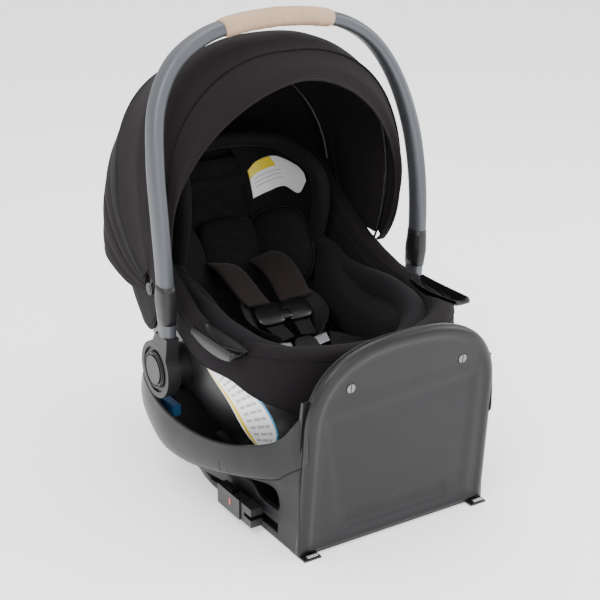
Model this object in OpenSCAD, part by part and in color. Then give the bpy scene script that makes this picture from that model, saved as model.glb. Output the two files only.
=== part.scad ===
// Infant car seat: a carrier with handle, canopy and harness, standing on its car base.
// Millimetres. +Z up, +Y towards the head end, the anti-rebound panel faces -Y.
// Working frame: Y = 0 at the lower front edge of the base. The modules then move
// everything by -mid_y, so that the origin is the middle of the footprint.

/* [Base] */
// Half width of the base at the floor
base_half_w = 152; // [148:1:156]
// Half width of the base at its bulging rim
rim_half_w = 214; // [208:1:216]
// Length of the base at its rim
base_len = 432; // [425:1:440]
// Length of the flat underside
sole_len = 330; // [310:1:345]
// Height of the anti-rebound panel
panel_top = 297; // [290:1:300]
// Forward lean of the panel in degrees
panel_lean = 5; // [3:0.5:6]
// Thickness of the panel's front moulding
panel_t = 14; // [12:1:16]

/* [Carrier] */
// Half width of the carrier shell at its rim
shell_half_w = 188; // [184:1:189]
// Foot end of the shell
shell_front_y = 26; // [24:1:34]
// Head end of the shell
shell_rear_y = 544; // [536:1:548]
// Height of the rim beside the child's legs
rim_z = 258; // [252:1:262]
// Height of the rim at the head end
head_z = 440; // [425:1:450]
// Lowest face of the shell
shell_low_z = 56; // [55:1:60]
// Wall of the shell
shell_t = 3.5; // [3:0.5:4]
// Wall of the foam liner
foam_t = 17; // [12:1:18]

/* [Handle] */
// Handle axis, distance behind the front edge
hub_y = 272; // [268:1:276]
// Handle axis, height
hub_z = 186; // [184:1:190]
// Radius of the hub housing
hub_r = 41; // [38:1:42]
// Outer face of the hub
hub_out_x = 222; // [220:1:224]
// Handle tube, width front to back
tube_w = 30; // [28:1:32]
// Handle tube, thickness
tube_t = 20; // [18:1:20]
// Half length of the leather grip
grip_half = 80; // [70:1:85]

/* [Canopy] */
// Canopy axis, distance behind the front edge
pivot_y = 335; // [332:1:338]
// Canopy axis, height
pivot_z = 280; // [278:1:284]
// Radius of the front bow over the middle
bow_r = 342; // [336:1:344]
// Half width of the front bow
bow_half_w = 196.4; // [196:0.1:196.6]
// Thickness of the fabric walls
cloth_t = 2.6; // [2:0.2:2.8]

/* [Harness] */
// Width of the shoulder webbing
web_w = 36; // [30:1:38]
// Thickness of the webbing
web_t = 1.6; // [1.4:0.1:2]
// Distance of each shoulder strap from the middle
strap_x = 36; // [34:1:40]

/* [Hidden] */
mid_y = 267.6;
axle_r = 8;
axle_fit = 0.05;
ring_n = 48;
sheet_n = 28;
$fn = 64;

// ---------------------------------------------------------------- small functions

// Index of the span of table t that holds position p
function span_of(t, p, i = 0) = (i >= len(t) - 2 || p < t[i + 1][0]) ? i : span_of(t, p, i + 1);

// Slope of table t at entry i
function slope(t, i) =
  let (a = max(i - 1, 0), b = min(i + 1, len(t) - 1))
  (t[b][1] - t[a][1]) / (t[b][0] - t[a][0]);

// Smooth curve through a short table of [position, value]; the value may be a vector
function smooth(t, p) =
  let (q = min(max(p, t[0][0]), t[len(t) - 1][0]),
       i = span_of(t, q),
       h = t[i + 1][0] - t[i][0],
       s = (q - t[i][0]) / h,
       s2 = s * s,
       s3 = s2 * s)
  t[i][1] * (2 * s3 - 3 * s2 + 1) + t[i + 1][1] * (3 * s2 - 2 * s3)
  + slope(t, i) * h * (s3 - 2 * s2 + s) + slope(t, i + 1) * h * (s3 - s2);

function unit(v) = v / max(norm(v), 0.000001);
function sgn_pow(v, e) = sign(v) * pow(abs(v), e);

// Outward faces for a closed body: reversed when the enclosed volume comes out negative
function tri_volume(p, f) = cross(p[f[0]], p[f[1]]) * p[f[2]] / 6;
function sum(v) = [for (x = v) 1] * v;
function outward(p, faces) =
  sum([for (f = faces) tri_volume(p, f)]) < 0 ? faces : [for (f = faces) [f[2], f[1], f[0]]];

module body_of(points, faces) polyhedron(points, outward(points, faces), convexity = 8);

// Solid through a list of rings with the same number of points, closed by a fan at each end
module loft(rings) {
  n = len(rings[0]);
  m = len(rings);
  points = concat([for (r = rings) each r], [sum(rings[0]) / n, sum(rings[m - 1]) / n]);
  faces = concat(
    [for (k = [0:m - 2], i = [0:n - 1]) let (j = (i + 1) % n) [k * n + i, k * n + j, (k + 1) * n + j]],
    [for (k = [0:m - 2], i = [0:n - 1]) let (j = (i + 1) % n) [k * n + i, (k + 1) * n + j, (k + 1) * n + i]],
    [for (i = [0:n - 1]) [m * n, (i + 1) % n, i]],
    [for (i = [0:n - 1]) [m * n + 1, (m - 1) * n + i, (m - 1) * n + (i + 1) % n]]);
  body_of(points, faces);
}

// Wall between two grids of points. closed: the columns run round. floor: the last row is
// closed by a fan on both skins, as in a bucket.
module wall(outer, inner, closed = false, floor = false) {
  m = len(outer);
  n = len(outer[0]);
  k = m * n;
  cols = closed ? n - 1 : n - 2;
  fans = floor ? [sum(outer[m - 1]) / n, sum(inner[m - 1]) / n] : [];
  points = concat([for (r = outer) each r], [for (r = inner) each r], fans);
  skin = [for (r = [0:m - 2], c = [0:cols]) let (d = (c + 1) % n)
      each [[r * n + c, r * n + d, (r + 1) * n + d], [r * n + c, (r + 1) * n + d, (r + 1) * n + c]]];
  back = [for (f = skin) [f[2] + k, f[1] + k, f[0] + k]];
  top = [for (c = [0:cols]) let (d = (c + 1) % n) each [[d, c, c + k], [d, c + k, d + k]]];
  e = (m - 1) * n;
  low = floor
    ? [for (c = [0:cols]) let (d = (c + 1) % n) each
        [[e + c, e + d, 2 * k], [e + k + d, e + k + c, 2 * k + 1]]]
    : [for (c = [0:cols]) let (d = (c + 1) % n) each
        [[e + c, e + d, e + d + k], [e + c, e + d + k, e + c + k]]];
  ends = closed ? [] : [for (r = [0:m - 2]) each [
      [r * n, (r + 1) * n, (r + 1) * n + k], [r * n, (r + 1) * n + k, r * n + k],
      [(r + 1) * n + n - 1, r * n + n - 1, r * n + n - 1 + k],
      [(r + 1) * n + n - 1, r * n + n - 1 + k, (r + 1) * n + n - 1 + k]]];
  body_of(points, concat(skin, back, top, low, ends));
}

// Ring of a rounded rectangle (superellipse of power e) in the plane of vectors u and v
function ring(centre, u, v, a, b, e = 3, n = 16) =
  [for (i = [0:n - 1]) let (t = 360 * i / n)
    centre + u * a * sgn_pow(cos(t), 2 / e) + v * b * sgn_pow(sin(t), 2 / e)];

// Flat strap along a path: width across, thickness towards up
module strap(path, width, thick, across = [1, 0, 0]) {
  rings = [for (i = [0:len(path) - 1])
    let (t = unit(path[min(i + 1, len(path) - 1)] - path[max(i - 1, 0)]), up = unit(cross(across, t)))
    ring(path[i], across, up, width / 2, thick / 2, 4, 12)];
  loft(rings);
}

module place() translate([0, -mid_y, 0]) children();
module along_x(x0, x1, y, z) translate([min(x0, x1), y, z]) rotate([0, 90, 0])
  linear_extrude(abs(x1 - x0)) children();
module rod_x(x0, x1, y, z, r) translate([min(x0, x1), y, z]) rotate([0, 90, 0])
  cylinder(r = r, h = abs(x1 - x0));
module block(x, y, z) translate([x[0], y[0], z[0]]) cube([x[1] - x[0], y[1] - y[0], z[1] - z[0]]);
// The same block on the right (side 1) or the left (side -1), x counted from the middle outwards
module side_block(side, x, y, z) block(side > 0 ? x : [-x[1], -x[0]], y, z);
// Points given for the right side, moved to a side
function sided(side, points) = [for (p = points) [side * p[0], p[1], p[2]]];
module round_rect(w, h, r) {
  for (sx = [-1, 1], sy = [-1, 1]) translate([sx * (w / 2 - r), sy * (h / 2 - r)]) circle(r);
  square([w, h - 2 * r], center = true);
  square([w - 2 * r, h], center = true);
}

// ---------------------------------------------------------------- base

// Half plan of the base from the rear middle round to the front corner: [x, y]
rim_plan = [[0, [0, base_len]], [1, [95, base_len - 3]], [2, [160, base_len - 30]],
  [3, [200, base_len - 84]], [4, [rim_half_w, 275]], [5, [rim_half_w - 4, 200]], [6, [198, 120]],
  [7, [180, 70]], [8, [158, 34]]];
sole_plan = [[0, [0, sole_len]], [1, [70, sole_len - 2]], [2, [118, sole_len - 12]],
  [3, [143, sole_len - 42]], [4, [base_half_w, 240]], [5, [base_half_w, 180]], [6, [base_half_w, 112]],
  [7, [base_half_w, 66]], [8, [base_half_w, 34]]];
// Heights of the rim's lower seam and upper edge, against y
seam_table = [[30, 104], [65, 98], [108, 90], [160, 78], [210, 70], [270, 74],
  [340, 92], [395, 84], [432, 60]];
edge_table = [[30, 168], [65, 147], [108, 134], [160, 126], [216, 126], [275, 134], [340, 142],
  [395, 124], [420, 98], [432, 86]];

function half_loop(table, n) = [for (i = [0:n]) smooth(table, 8 * i / n)];
function full_loop(half) =
  concat(half, [for (i = [len(half) - 1:-1:1]) [-half[i][0], half[i][1]]]);
// Inward offset of a loop of [x, y] points
function inset(loop, d) = [for (i = [0:len(loop) - 1])
  let (n = len(loop), t = unit(loop[(i + 1) % n] - loop[(i + n - 1) % n])) loop[i] + d * [t[1], -t[0]]];

rim_loop = full_loop(half_loop(rim_plan, 20));
sole_loop = full_loop(half_loop(sole_plan, 20));
function at_height(loop, table, dz = 0) = [for (p = loop) [p[0], p[1], smooth(table, p[1]) + dz]];
// How late the side wall flares out to the rim: upright at the front, slanted at the rear
flare_table = [[34, 6], [160, 5], [230, 2.4], [300, 1.3], [432, 1]];
hull_t = 3.5;
hull_rows = 6;
rim_t = 5;
rim_gap = 0.5;
// Row of the hull at share s of the height from the sole to the rim, d inside the outer skin
function hull_row(s, d) =
  let (low = inset(sole_loop, d), high = inset(rim_loop, d + 3))
  [for (i = [0:len(low) - 1])
    let (z = smooth(seam_table, high[i][1]) - rim_gap, out = pow(s, smooth(flare_table, high[i][1])))
    [low[i][0] + (high[i][0] - low[i][0]) * out, low[i][1] + (high[i][1] - low[i][1]) * out,
     z * s + (1 - s) * (d + 2)]];

belt_y = 80;
belt_z = 68;
belt_w = 60;
belt_h = 46;
slot_z = 20;
slot_y0 = 56;
slot_y1 = 236;

belt_r = 14;
reach_x = 230;
module belt_hole(grow) along_x(-reach_x, reach_x, belt_y, belt_z) rotate(90)
  round_rect(belt_w + grow, belt_h + grow, belt_r);
module anchor_slot() block([-reach_x, reach_x], [slot_y0, slot_y1], [slot_z - 8, slot_z + 8]);

module base_lower_shell() color("dimgray") place() difference() {
  wall([for (k = [0:hull_rows]) hull_row(1 - k / hull_rows, 0)],
    [for (k = [0:hull_rows]) hull_row(1 - k / hull_rows, hull_t)], true, true);
  belt_hole(0.4);
  anchor_slot();
}

// Band that bulges outwards round the top of the base
module base_rim() color("dimgray") place() {
  seam = at_height(rim_loop, seam_table);
  half_way = [for (t = seam_table) [t[0], (t[1] + smooth(edge_table, t[0])) / 2]];
  bulge = at_height(inset(rim_loop, -rim_t), half_way);
  edge = at_height(rim_loop, edge_table);
  back_edge = at_height(inset(rim_loop, rim_t - 1), edge_table, -1);
  back_mid = at_height(rim_loop, half_way);
  back_seam = at_height(inset(rim_loop, rim_t), seam_table);
  wall([edge, bulge, seam], [back_edge, back_mid, back_seam], true);
}

panel_power = 2.6;
panel_low = 2.8;
arch_z = 170;
panel_side = 150;
function panel_outline(d) = concat(
  [[-(base_half_w + 1 - d), panel_low], [base_half_w + 1 - d, panel_low]],
  [for (a = [0:5:180]) [(panel_side - d) * sgn_pow(cos(a), 2 / panel_power),
    arch_z + (panel_top - arch_z - d) * sgn_pow(sin(a), 2 / panel_power)]]);
// Upright slab y0..y1 thick, leaning with the panel
module slab(y0, y1, d) rotate([panel_lean, 0, 0]) translate([0, y1, 0]) rotate([90, 0, 0])
  linear_extrude(y1 - y0) polygon(panel_outline(d));

screw_x = 89;
screw_z = 238;
screw_r = 6.3;
lip_y = 4;
recess_y = 2.5;
slot_w = 1.6;
module panel_screw_at(s, y0, y1, r) rotate([panel_lean, 0, 0]) translate([s * screw_x, y0, screw_z])
  rotate([-90, 0, 0]) cylinder(r = r, h = y1 - y0);

module panel_front() color("dimgray") place() difference() {
  union() {
    slab(lip_y, panel_t, 0);
    slab(0, lip_y, 5);
  }
  // shallow recess in the face
  rotate([panel_lean, 0, 0]) translate([0, recess_y, 0]) rotate([90, 0, 0])
    linear_extrude(recess_y + 0.5)
    polygon([[-104, 46], [92, 46], [112, 66], [112, 178], [100, 208], [-60, 196], [-104, 120]]);
  for (s = [-1, 1]) panel_screw_at(s, -1, 6, screw_r + 0.2);
}

module panel_back() color("dimgray") place() union() {
  slab(panel_t + 0.1, panel_t + 9, 6);
  for (s = [-1, 1]) along_x(s * 140, s * (base_half_w - 1), 0, 0) rotate(90)
    polygon([[panel_t + 5, 3], [27, 3], [27, 158], [17, 172], [6, 196], [0, 226], [-4.5, 226],
      [panel_t - 8, 120]]);
}

module panel_screws() color("silver") place() for (s = [-1, 1]) difference() {
  panel_screw_at(s, 1.5, 5.8, screw_r);
  rotate([panel_lean, 0, 0]) translate([s * screw_x, 1.4, screw_z])
    cube([slot_w, 2.4, 2 * screw_r + 1], center = true);
}

foot_x = 138;
module front_feet() color("black") place() for (s = [-1, 1])
  block([s * foot_x - 13, s * foot_x + 13], [-9, 26], [0, 2.6]);
module foot_pins() color("silver") place() for (s = [-1, 1])
  rod_x(s * foot_x - 8, s * foot_x + 8, -6, 5.4, 2.6);
module sole_pads() color("black") place() for (s = [-1, 1])
  block([s * 110 - 16, s * 110 + 16], [120, 270], [0, 2]);

module belt_liner(side) color("black") place() along_x(side * 118, side * 148, belt_y, belt_z) rotate(90)
  difference() {
    round_rect(belt_w, belt_h, belt_r);
    round_rect(belt_w - 5, belt_h - 5, belt_r - 2);
  }
module belt_liner_left() belt_liner(-1);
module belt_liner_right() belt_liner(1);

saddle_y = [170, 300];
saddle_z = 46;
bar_r = 5;
module dock_tray() color("black") place() difference() {
  block([-100, 100], [118, 322], [30, 36]);
  for (x = [-60, 0, 60]) block([x - 18, x + 18], [190, 280], [29, 37]);
}
module dock_saddles() color("black") place() for (s = [-1, 1], y = saddle_y) difference() {
  block([s * 76 - 9, s * 76 + 9], [y - 15, y + 15], [36, 54]);
  rod_x(s * 76 - 10, s * 76 + 10, y, saddle_z, bar_r + 0.4);
  block([s * 76 - 10, s * 76 + 10], [y - bar_r - 0.4, y + bar_r + 0.4], [saddle_z, 60]);
}
module carrier_bars() color("silver") place() for (y = saddle_y) rod_x(-95, 95, y, saddle_z, bar_r);

module belt_marker(side) color("royalblue") place()
  block([side * 192 - 6, side * 192 + 6], [262, 306], [112, 128]);
module belt_marker_left() belt_marker(-1);
module belt_marker_right() belt_marker(1);

// Lower anchor connectors slide along a rail in each side of the base
rail_x = 140;
anchor_y = 150;
module anchor_rails() color("silver") place() for (s = [-1, 1])
  block([s * rail_x - 2, s * rail_x + 2], [slot_y0 - 8, slot_y1 + 8], [slot_z - 7, slot_z + 7]);
anchor_low = slot_z - 7.8;
jaw_y = anchor_y - 48;
module anchor_body(side) color("black") place() difference() {
  union() {
    side_block(side, [143, 172], [anchor_y - 34, anchor_y + 34], [slot_z - 7, slot_z + 7]);
    side_block(side, [162.5, 178], [anchor_y - 36, anchor_y + 24], [anchor_low, slot_z + 22]);
    // jaws that close over the car's anchor bar
    side_block(side, [158, 176], [jaw_y - 16, jaw_y + 12], [anchor_low, slot_z + 20]);
  }
  side_block(side, [150, 185], [jaw_y - 22, jaw_y], [slot_z + 3, slot_z + 9]);
  rod_x(side * 150, side * 185, jaw_y, slot_z + 6, 3.05);
  side_block(side, [164, 175], [anchor_y - 16, anchor_y + 8], [slot_z + 14, slot_z + 23]);
}
module anchor_body_left() anchor_body(-1);
module anchor_body_right() anchor_body(1);
module anchor_button(side) color("firebrick") place()
  side_block(side, [164.4, 174.6], [anchor_y - 12, anchor_y + 4], [slot_z + 17.2, slot_z + 25]);
module anchor_button_left() anchor_button(-1);
module anchor_button_right() anchor_button(1);

// ---------------------------------------------------------------- carrier

// Half width of the shell against y, as a share of the driving value: it narrows under the canopy
width_table = [[20, 1], [190, 1], [300, 0.94], [545, 0.918]];
shell_mid_y = (shell_front_y + shell_rear_y) / 2;
shell_half_len = (shell_rear_y - shell_front_y) / 2;
rim_table = [[20, rim_z], [220, rim_z + 2], [300, rim_z + 28], [390, rim_z + 84], [470, head_z - 38],
  [545, head_z]];
// Point of the bucket: a runs round, s from the rim (0) to the floor (1), d is the outward offset.
// The plan is squarer at the head end than at the foot end.
function bucket(a, s, d, lift = 0) =
  let (e = 2 / (3.6 + 1.2 * sin(a)),
       cx = sgn_pow(cos(a), e),
       cy = sgn_pow(sin(a), e),
       y0 = shell_mid_y + (shell_half_len + d) * cy,
       z0 = smooth(rim_table, y0) + lift,
       w0 = shell_half_w * smooth(width_table, y0) + d,
       up = [w0 * cx, y0, z0],
       mid = [w0 * cx, y0, 84 + 26 * max(cy, 0) - d],
       low = [(86 + 0.4 * d) * cx, 232 + (88 + 0.4 * d) * cy, shell_low_z - d])
  up * (1 - s) * (1 - s) + mid * 2 * s * (1 - s) + low * s * s;
function bucket_row(s, d, lift = 0) =
  [for (i = [0:ring_n - 1]) bucket(360 * i / ring_n, s, d, lift)];
rows = 9;
// Bucket-shaped wall between two offsets, starting at share s0 below the rim
module bucket_wall(d0, d1, s0 = 0) wall(
  [for (k = [0:rows]) bucket_row(max(k / rows, s0), d0)],
  [for (k = [0:rows]) bucket_row(max(k / rows, s0), d1)], true, true);
module shell_space() bucket_wall(0.3, -60);

module carrier_shell() color("#1c1c1e") place() difference() {
  bucket_wall(0, -shell_t);
  block([-17, 17], [shell_rear_y - 120, shell_rear_y + 20], [250, 262]);
}
foam_gap = 0.9;
module foam_liner() color("dimgray") place()
  bucket_wall(-shell_t - foam_gap, -shell_t - foam_gap - foam_t, 0.035);

// Fabric cover: down the outside of the shell, over the rim and down the inside.
// Rows of [share down the bucket, outward offset, lift] for its outer and its inner skin.
cover_out = [[0.16, 3.6, 0], [0.1, 4.4, 0], [0.04, 5, 0], [0, 5, 3], [0, 1, 9.5], [0, -10, 10.5],
  [0, -20, 5], [0.05, -27.5, 0], [0.18, -29.5, 0]];
cover_in = [[0.16, 0.6, 0], [0.1, 0.8, 0], [0.04, 1, 0], [0, 1, 1], [0, -1, 2], [0, -10, 2],
  [0, -18, 0], [0.05, -23.6, -2], [0.18, -24.6, -2]];
module seat_cover() color("#3b3335") place()
  wall([for (r = cover_out) bucket_row(r[0], r[1], r[2])],
    [for (r = cover_in) bucket_row(r[0], r[1], r[2])], true);

// Padded surface the child lies on: height of its middle against y
seat_table = [[70, 196], [100, 152], [150, 120], [200, 112], [250, 122], [300, 145], [350, 175],
  [400, 208], [440, 248], [470, 300], [492, 360], [505, 410]];
// Thickness of the pad under it, its half width and how far its sides turn up, against y
back_table = [[70, 12], [150, 16], [300, 26], [400, 26], [470, 20], [505, 8]];
pad_width = [[70, 52], [100, 96], [150, 118], [300, 130], [440, 112], [470, 96], [505, 66]];
pad_dish = [[70, 30], [400, 34], [505, 8]];
function seat_point(v, y, d) =
  let (w = smooth(pad_width, y),
       z = smooth(seat_table, y) + smooth(pad_dish, y) * pow(abs(v), 2.6),
       t = unit([1, smooth(seat_table, y + 1) - smooth(seat_table, y - 1)] / 2),
       n = [-t[1], t[0]])
  [w * v * (1 + d * 0.001), y + n[0] * d, z + n[1] * d];
pad_n = 24;
pad_ys = [for (i = [0:pad_n]) 80 + 420 * i / pad_n];
module seat_pad() color("#17171a") place()
  wall([for (y = pad_ys) [for (j = [-8:8]) seat_point(j / 8, y, 0)]],
       [for (y = pad_ys) [for (j = [-8:8]) seat_point(j / 8 * 0.97, y, -smooth(back_table, y))]]);

// Horseshoe pillow round the head
function arc_pillow(t) = [112 * cos(t), 372 + 92 * sin(t) * cos(38), 262 + 108 * sin(t) * sin(48)];
module head_pillow() color("#17171a") place() {
  path = [for (t = [-42:12:222]) arc_pillow(t)];
  loft([for (i = [0:len(path) - 1])
    let (t = unit(path[min(i + 1, len(path) - 1)] - path[max(i - 1, 0)]),
         up = unit([0, -0.62, 0.78] - t * (t * [0, -0.62, 0.78])),
         f = 0.55 + 0.45 * sin(180 * i / (len(path) - 1)))
    ring(path[i] + up * 6, cross(up, t), up, 15 * f, 26 * f, 2.2, 14)]);
}

// Body bolsters beside the hips
module bolster(side) color("#17171a") place()
  loft([for (i = [0:12])
    let (s = i / 12, swell = sin(180 * s), f = pow(sin(8 + 164 * s), 0.6),
         centre = [side * (120 + 8 * swell), 118 + 170 * s, 196 + 12 * swell])
    ring(centre, [1, 0, 0], [0, 0, 1], 15 * f, 40 * f, 2.4, 14)]);
module bolster_left() bolster(-1);
module bolster_right() bolster(1);

// Cups on the rim that hold the lap belt when the carrier is used without its base
guide_y = 152;
module cup(x, z, a, b) loft([for (s = [0, 1])
  ring([x - sign(x) * 3 * s, guide_y, z + 14 * s], [1, 0, 0], [0, 1, 0], a - 2 * s, b - 8 * s, 2.6, 28)]);
module belt_guide(side) color("black") place() difference() {
  cup(side * 174, rim_z + 13, 19, 58);
  cup(side * 172, rim_z + 15.4, 15.5, 52);
}
module belt_guide_left() belt_guide(-1);
module belt_guide_right() belt_guide(1);

// Plates that follow the shell's side: angle a0..a1 round the bucket, s0..s1 down it
module side_plate(a0, a1, s0, s1, d0, d1) wall(
  [for (k = [0:6]) [for (i = [0:8]) bucket(a0 + (a1 - a0) * i / 8, s0 + (s1 - s0) * k / 6, d1)]],
  [for (k = [0:6]) [for (i = [0:8]) bucket(a0 + (a1 - a0) * i / 8, s0 + (s1 - s0) * k / 6, d0)]]);
module side_label_left() color("white") place() side_plate(196, 212, 0.2, 0.52, 0.3, 1.1);
module side_label_right() color("white") place() side_plate(-16, -32, 0.2, 0.52, 0.3, 1.1);
module head_label() color("white") place()
  side_plate(52, 74, 0.06, 0.24, -31.6, -30.6);

module hub_mounts() color("black") place() for (s = [-1, 1]) difference() {
  rod_x(s * 176, s * 199, hub_y, hub_z, 30);
  shell_space();
  rod_x(s * 170, s * 200, hub_y, hub_z, axle_r + 0.02);
}
module pivot_pins() color("silver") place() for (s = [-1, 1]) rod_x(s * 191, s * 214, hub_y, hub_z, axle_r);
module canopy_mounts() color("black") place() for (s = [-1, 1])
  rod_x(s * (bow_half_w - 12.2), s * (bow_half_w - 2.8), pivot_y, pivot_z, pin_r);

// Handle at the back of the shell that frees the carrier from its base
module release_housing() color("black") place() difference() {
  block([-52, 52], [480, 536], [182, 236]);
  shell_space();
  block([-44, 44], [516, 545], [188, 230]);
}
module release_lever() color("dimgray") place() {
  block([-43.5, 43.5], [520, 531], [190, 226]);
  rod_x(-43.5, 43.5, 525.5, 226, 3.6);
}

// ---------------------------------------------------------------- harness

shoulder_path = [[strap_x, 430, 272], [strap_x, 405, 252], [strap_x + 1, 380, 240], [strap_x, 350, 231],
  [33, 322, 223], [30, 300, 217]];
waist_path = [[27, 284, 209], [24, 268, 203], [21, 252, 199], [18, 240, 196]];
sleeve_path = [[strap_x, 408, 262], [strap_x + 1, 382, 250], [strap_x + 1, 352, 241], [35, 326, 233],
  [33, 309, 228]];
hip_path = [[102, 214, 170], [84, 220, 172], [62, 226, 180], [44, 230, 186]];
tongue_path = [[42, 232, 192], [30, 231, 191], [20, 229, 190]];
hip_across = [0, 0.8, 0.6];
module shoulder_straps() color("#26211f") place() for (s = [-1, 1]) {
  strap(sided(s, shoulder_path), web_w, web_t);
  strap(sided(s, waist_path), web_w * 0.7, web_t);
}
module strap_covers() color("#43322f") place() for (s = [-1, 1]) strap(sided(s, sleeve_path), 46, 8);
module chest_clip() color("black") place() for (s = [-1, 1]) translate([s * 22, 289.7, 216.7])
  rotate([32, 0, 0]) translate([0, 0, -0.9]) linear_extrude(6.2) round_rect(42, 30, 9);
module hip_straps() color("#26211f") place() for (s = [-1, 1])
  strap(sided(s, hip_path), 26, web_t, hip_across);
module buckle_tongues() color("silver") place() for (s = [-1, 1])
  strap(sided(s, tongue_path), 16, 2, hip_across);
buckle_tilt = 28;
module in_buckle() translate([0, 216, 176]) rotate([buckle_tilt, 0, 0]) children();
module buckle_housing() color("black") place() in_buckle() difference() {
  translate([0, 0, -13]) linear_extrude(26) round_rect(36, 54, 12);
  translate([0, -8, 5]) linear_extrude(9) round_rect(22.6, 18.6, 6);
}
module buckle_button() color("red") place() in_buckle() translate([0, -8, 8.2])
  linear_extrude(6.8) round_rect(22, 18, 5.8);
module crotch_strap() color("#26211f") place()
  strap([[0, 190, 118], [0, 191, 132], [0, 194, 146]], 34, 2);
adjuster_tilt = -38;
module in_adjuster(z) translate([0, 118, z]) rotate([adjuster_tilt, 0, 0]) children();
module adjuster_housing() color("black") place() difference() {
  in_adjuster(150) linear_extrude(6) round_rect(40, 30, 8);
  in_adjuster(152) linear_extrude(6) round_rect(22.6, 14.6, 4);
}
module adjuster_button() color("dimgray") place() in_adjuster(152) translate([0, 0, 2.4])
  linear_extrude(4.5) round_rect(22, 14, 3.8);
module adjuster_strap() color("#26211f") place()
  strap([[0, 102, 168], [0, 92, 182], [0, 86, 196], [0, 82, 208]], 25, web_t);

// ---------------------------------------------------------------- handle

// Centre line of one leg from its socket to the middle of the grip: [x, y, z]
leg_table = [[0, [208, 251, 244]], [1, [211, 247, 325]], [2, [212, 253, 405]], [3, [208, 268, 480]],
  [4, [193, 288, 548]], [5, [161, 300, 600]], [6, [112, 302, 632]], [7, [56, 301, 645]], [8, [0, 300, 649]]];
leg_n = 25;
function leg(i) = smooth(leg_table, 8 * i / leg_n);
hoop = concat(sided(-1, [for (i = [0:leg_n]) leg(i)]), [for (i = [leg_n - 1:-1:0]) leg(i)]);
function hoop_ring(i, grow) =
  let (n = len(hoop),
       t = unit(hoop[min(i + 1, n - 1)] - hoop[max(i - 1, 0)]),
       wide = unit([0, 1, 0] - t * t[1]),
       thick = cross(t, wide))
  ring(hoop[i], wide, thick, tube_w / 2 + grow, tube_t / 2 + grow, 2.8, 16);
tube_wall = 1.8;
module handle_tube() color("slategray") place()
  wall([for (i = [0:len(hoop) - 1]) hoop_ring(i, 0)],
    [for (i = [0:len(hoop) - 1]) hoop_ring(i, -tube_wall)], true);
grip_ids = [for (i = [0:len(hoop) - 1]) if (abs(hoop[i][0]) <= grip_half + 6) i];
module handle_grip() color("tan") place()
  wall([for (i = grip_ids) hoop_ring(i, 3)], [for (i = grip_ids) hoop_ring(i, 0.15)], true);

module hub(side) color("#242424") place() difference() {
  union() {
    rod_x(side * 199.6, side * (hub_out_x - 3), hub_y, hub_z, hub_r);
    hull() {
      rod_x(side * 199.6, side * (hub_out_x - 3), hub_y - 6, hub_z + 12, 26);
      translate([side * 208.5, 251.4, 238]) rotate([3, 0, 0]) cube([19, 34, 9], center = true);
    }
  }
  rod_x(side * 190, side * 214.5, hub_y, hub_z, axle_r + axle_fit);
  difference() {
    rod_x(side * (hub_out_x - 6), side * (hub_out_x + 1), hub_y, hub_z, 33);
    rod_x(side * (hub_out_x - 8), side * (hub_out_x + 2), hub_y, hub_z, 27);
  }
  rod_x(side * (hub_out_x - 7.5), side * (hub_out_x + 1), hub_y, hub_z, 21);
}
module hub_left() hub(-1);
module hub_right() hub(1);
module handle_button(side) color("#2c2c2c") place()
  rod_x(side * (hub_out_x - 3), side * hub_out_x, hub_y, hub_z, 20.4);
module handle_button_left() handle_button(-1);
module handle_button_right() handle_button(1);

// ---------------------------------------------------------------- canopy

// Radius from the canopy axis below which a hoop is straight, before it arches
hoop_r0 = 120;
foot_share = 0.6;
// Power of the hoops' arch: a little squarer than an ellipse
bow_e = 2.45;
// Point of a hoop: u runs from 0 (left foot) to 1 (right foot); the tilt table gives its angle
// against the radius
function hoop_at(u, w, top_r, e, tilt, foot_r = 26) =
  let (v = 2 * abs(u - 0.5),
       turn = 90 * min(v / foot_share, 1),
       r = v > foot_share
         ? foot_r + (hoop_r0 - foot_r) * (1 - v) / (1 - foot_share)
         : hoop_r0 + (top_r - hoop_r0) * pow(cos(turn), 2 / e),
       x = w * pow(sin(turn), 2 / e),
       a = smooth(tilt, r))
  [sign(u - 0.5) * x, pivot_y + r * cos(a), pivot_z + r * sin(a)];
function hoop_line(w, top_r, e, tilt) = [for (i = [0:sheet_n]) hoop_at(i / sheet_n, w, top_r, e, tilt)];

tilt_front = [[26, 150], [60, 138], [136, 118], [220, 107], [333, 101]];
tilt_crest = [[26, 118], [136, 104], [220, 97], [333, 94]];
tilt_back = [[26, 104], [136, 94], [220, 90], [333, 88]];
tilt_mid = [[26, 66], [136, 76], [220, 78], [333, 77]];
tilt_pipe = [[26, 22], [60, 28], [131, 41], [195, 54], [320, 63]];

// Cloth between hoops. Each row is [half width, top radius, power, tilt table]
module cloth(rows) wall(
  [for (r = rows) hoop_line(r[0], r[1], r[2], r[3])],
  [for (r = rows) hoop_line(r[0] - cloth_t, r[1] - cloth_t, r[2], r[3])]);

// Front band: it carries the front bow and slides over the sections behind it
module canopy_front() color("#453a3c") place() cloth([
  [bow_half_w - 0.8, bow_r - 8, 2.4, tilt_front],
  [bow_half_w - 0.1, bow_r - 1.5, bow_e, tilt_crest],
  [bow_half_w, bow_r, bow_e, tilt_back]]);

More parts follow.
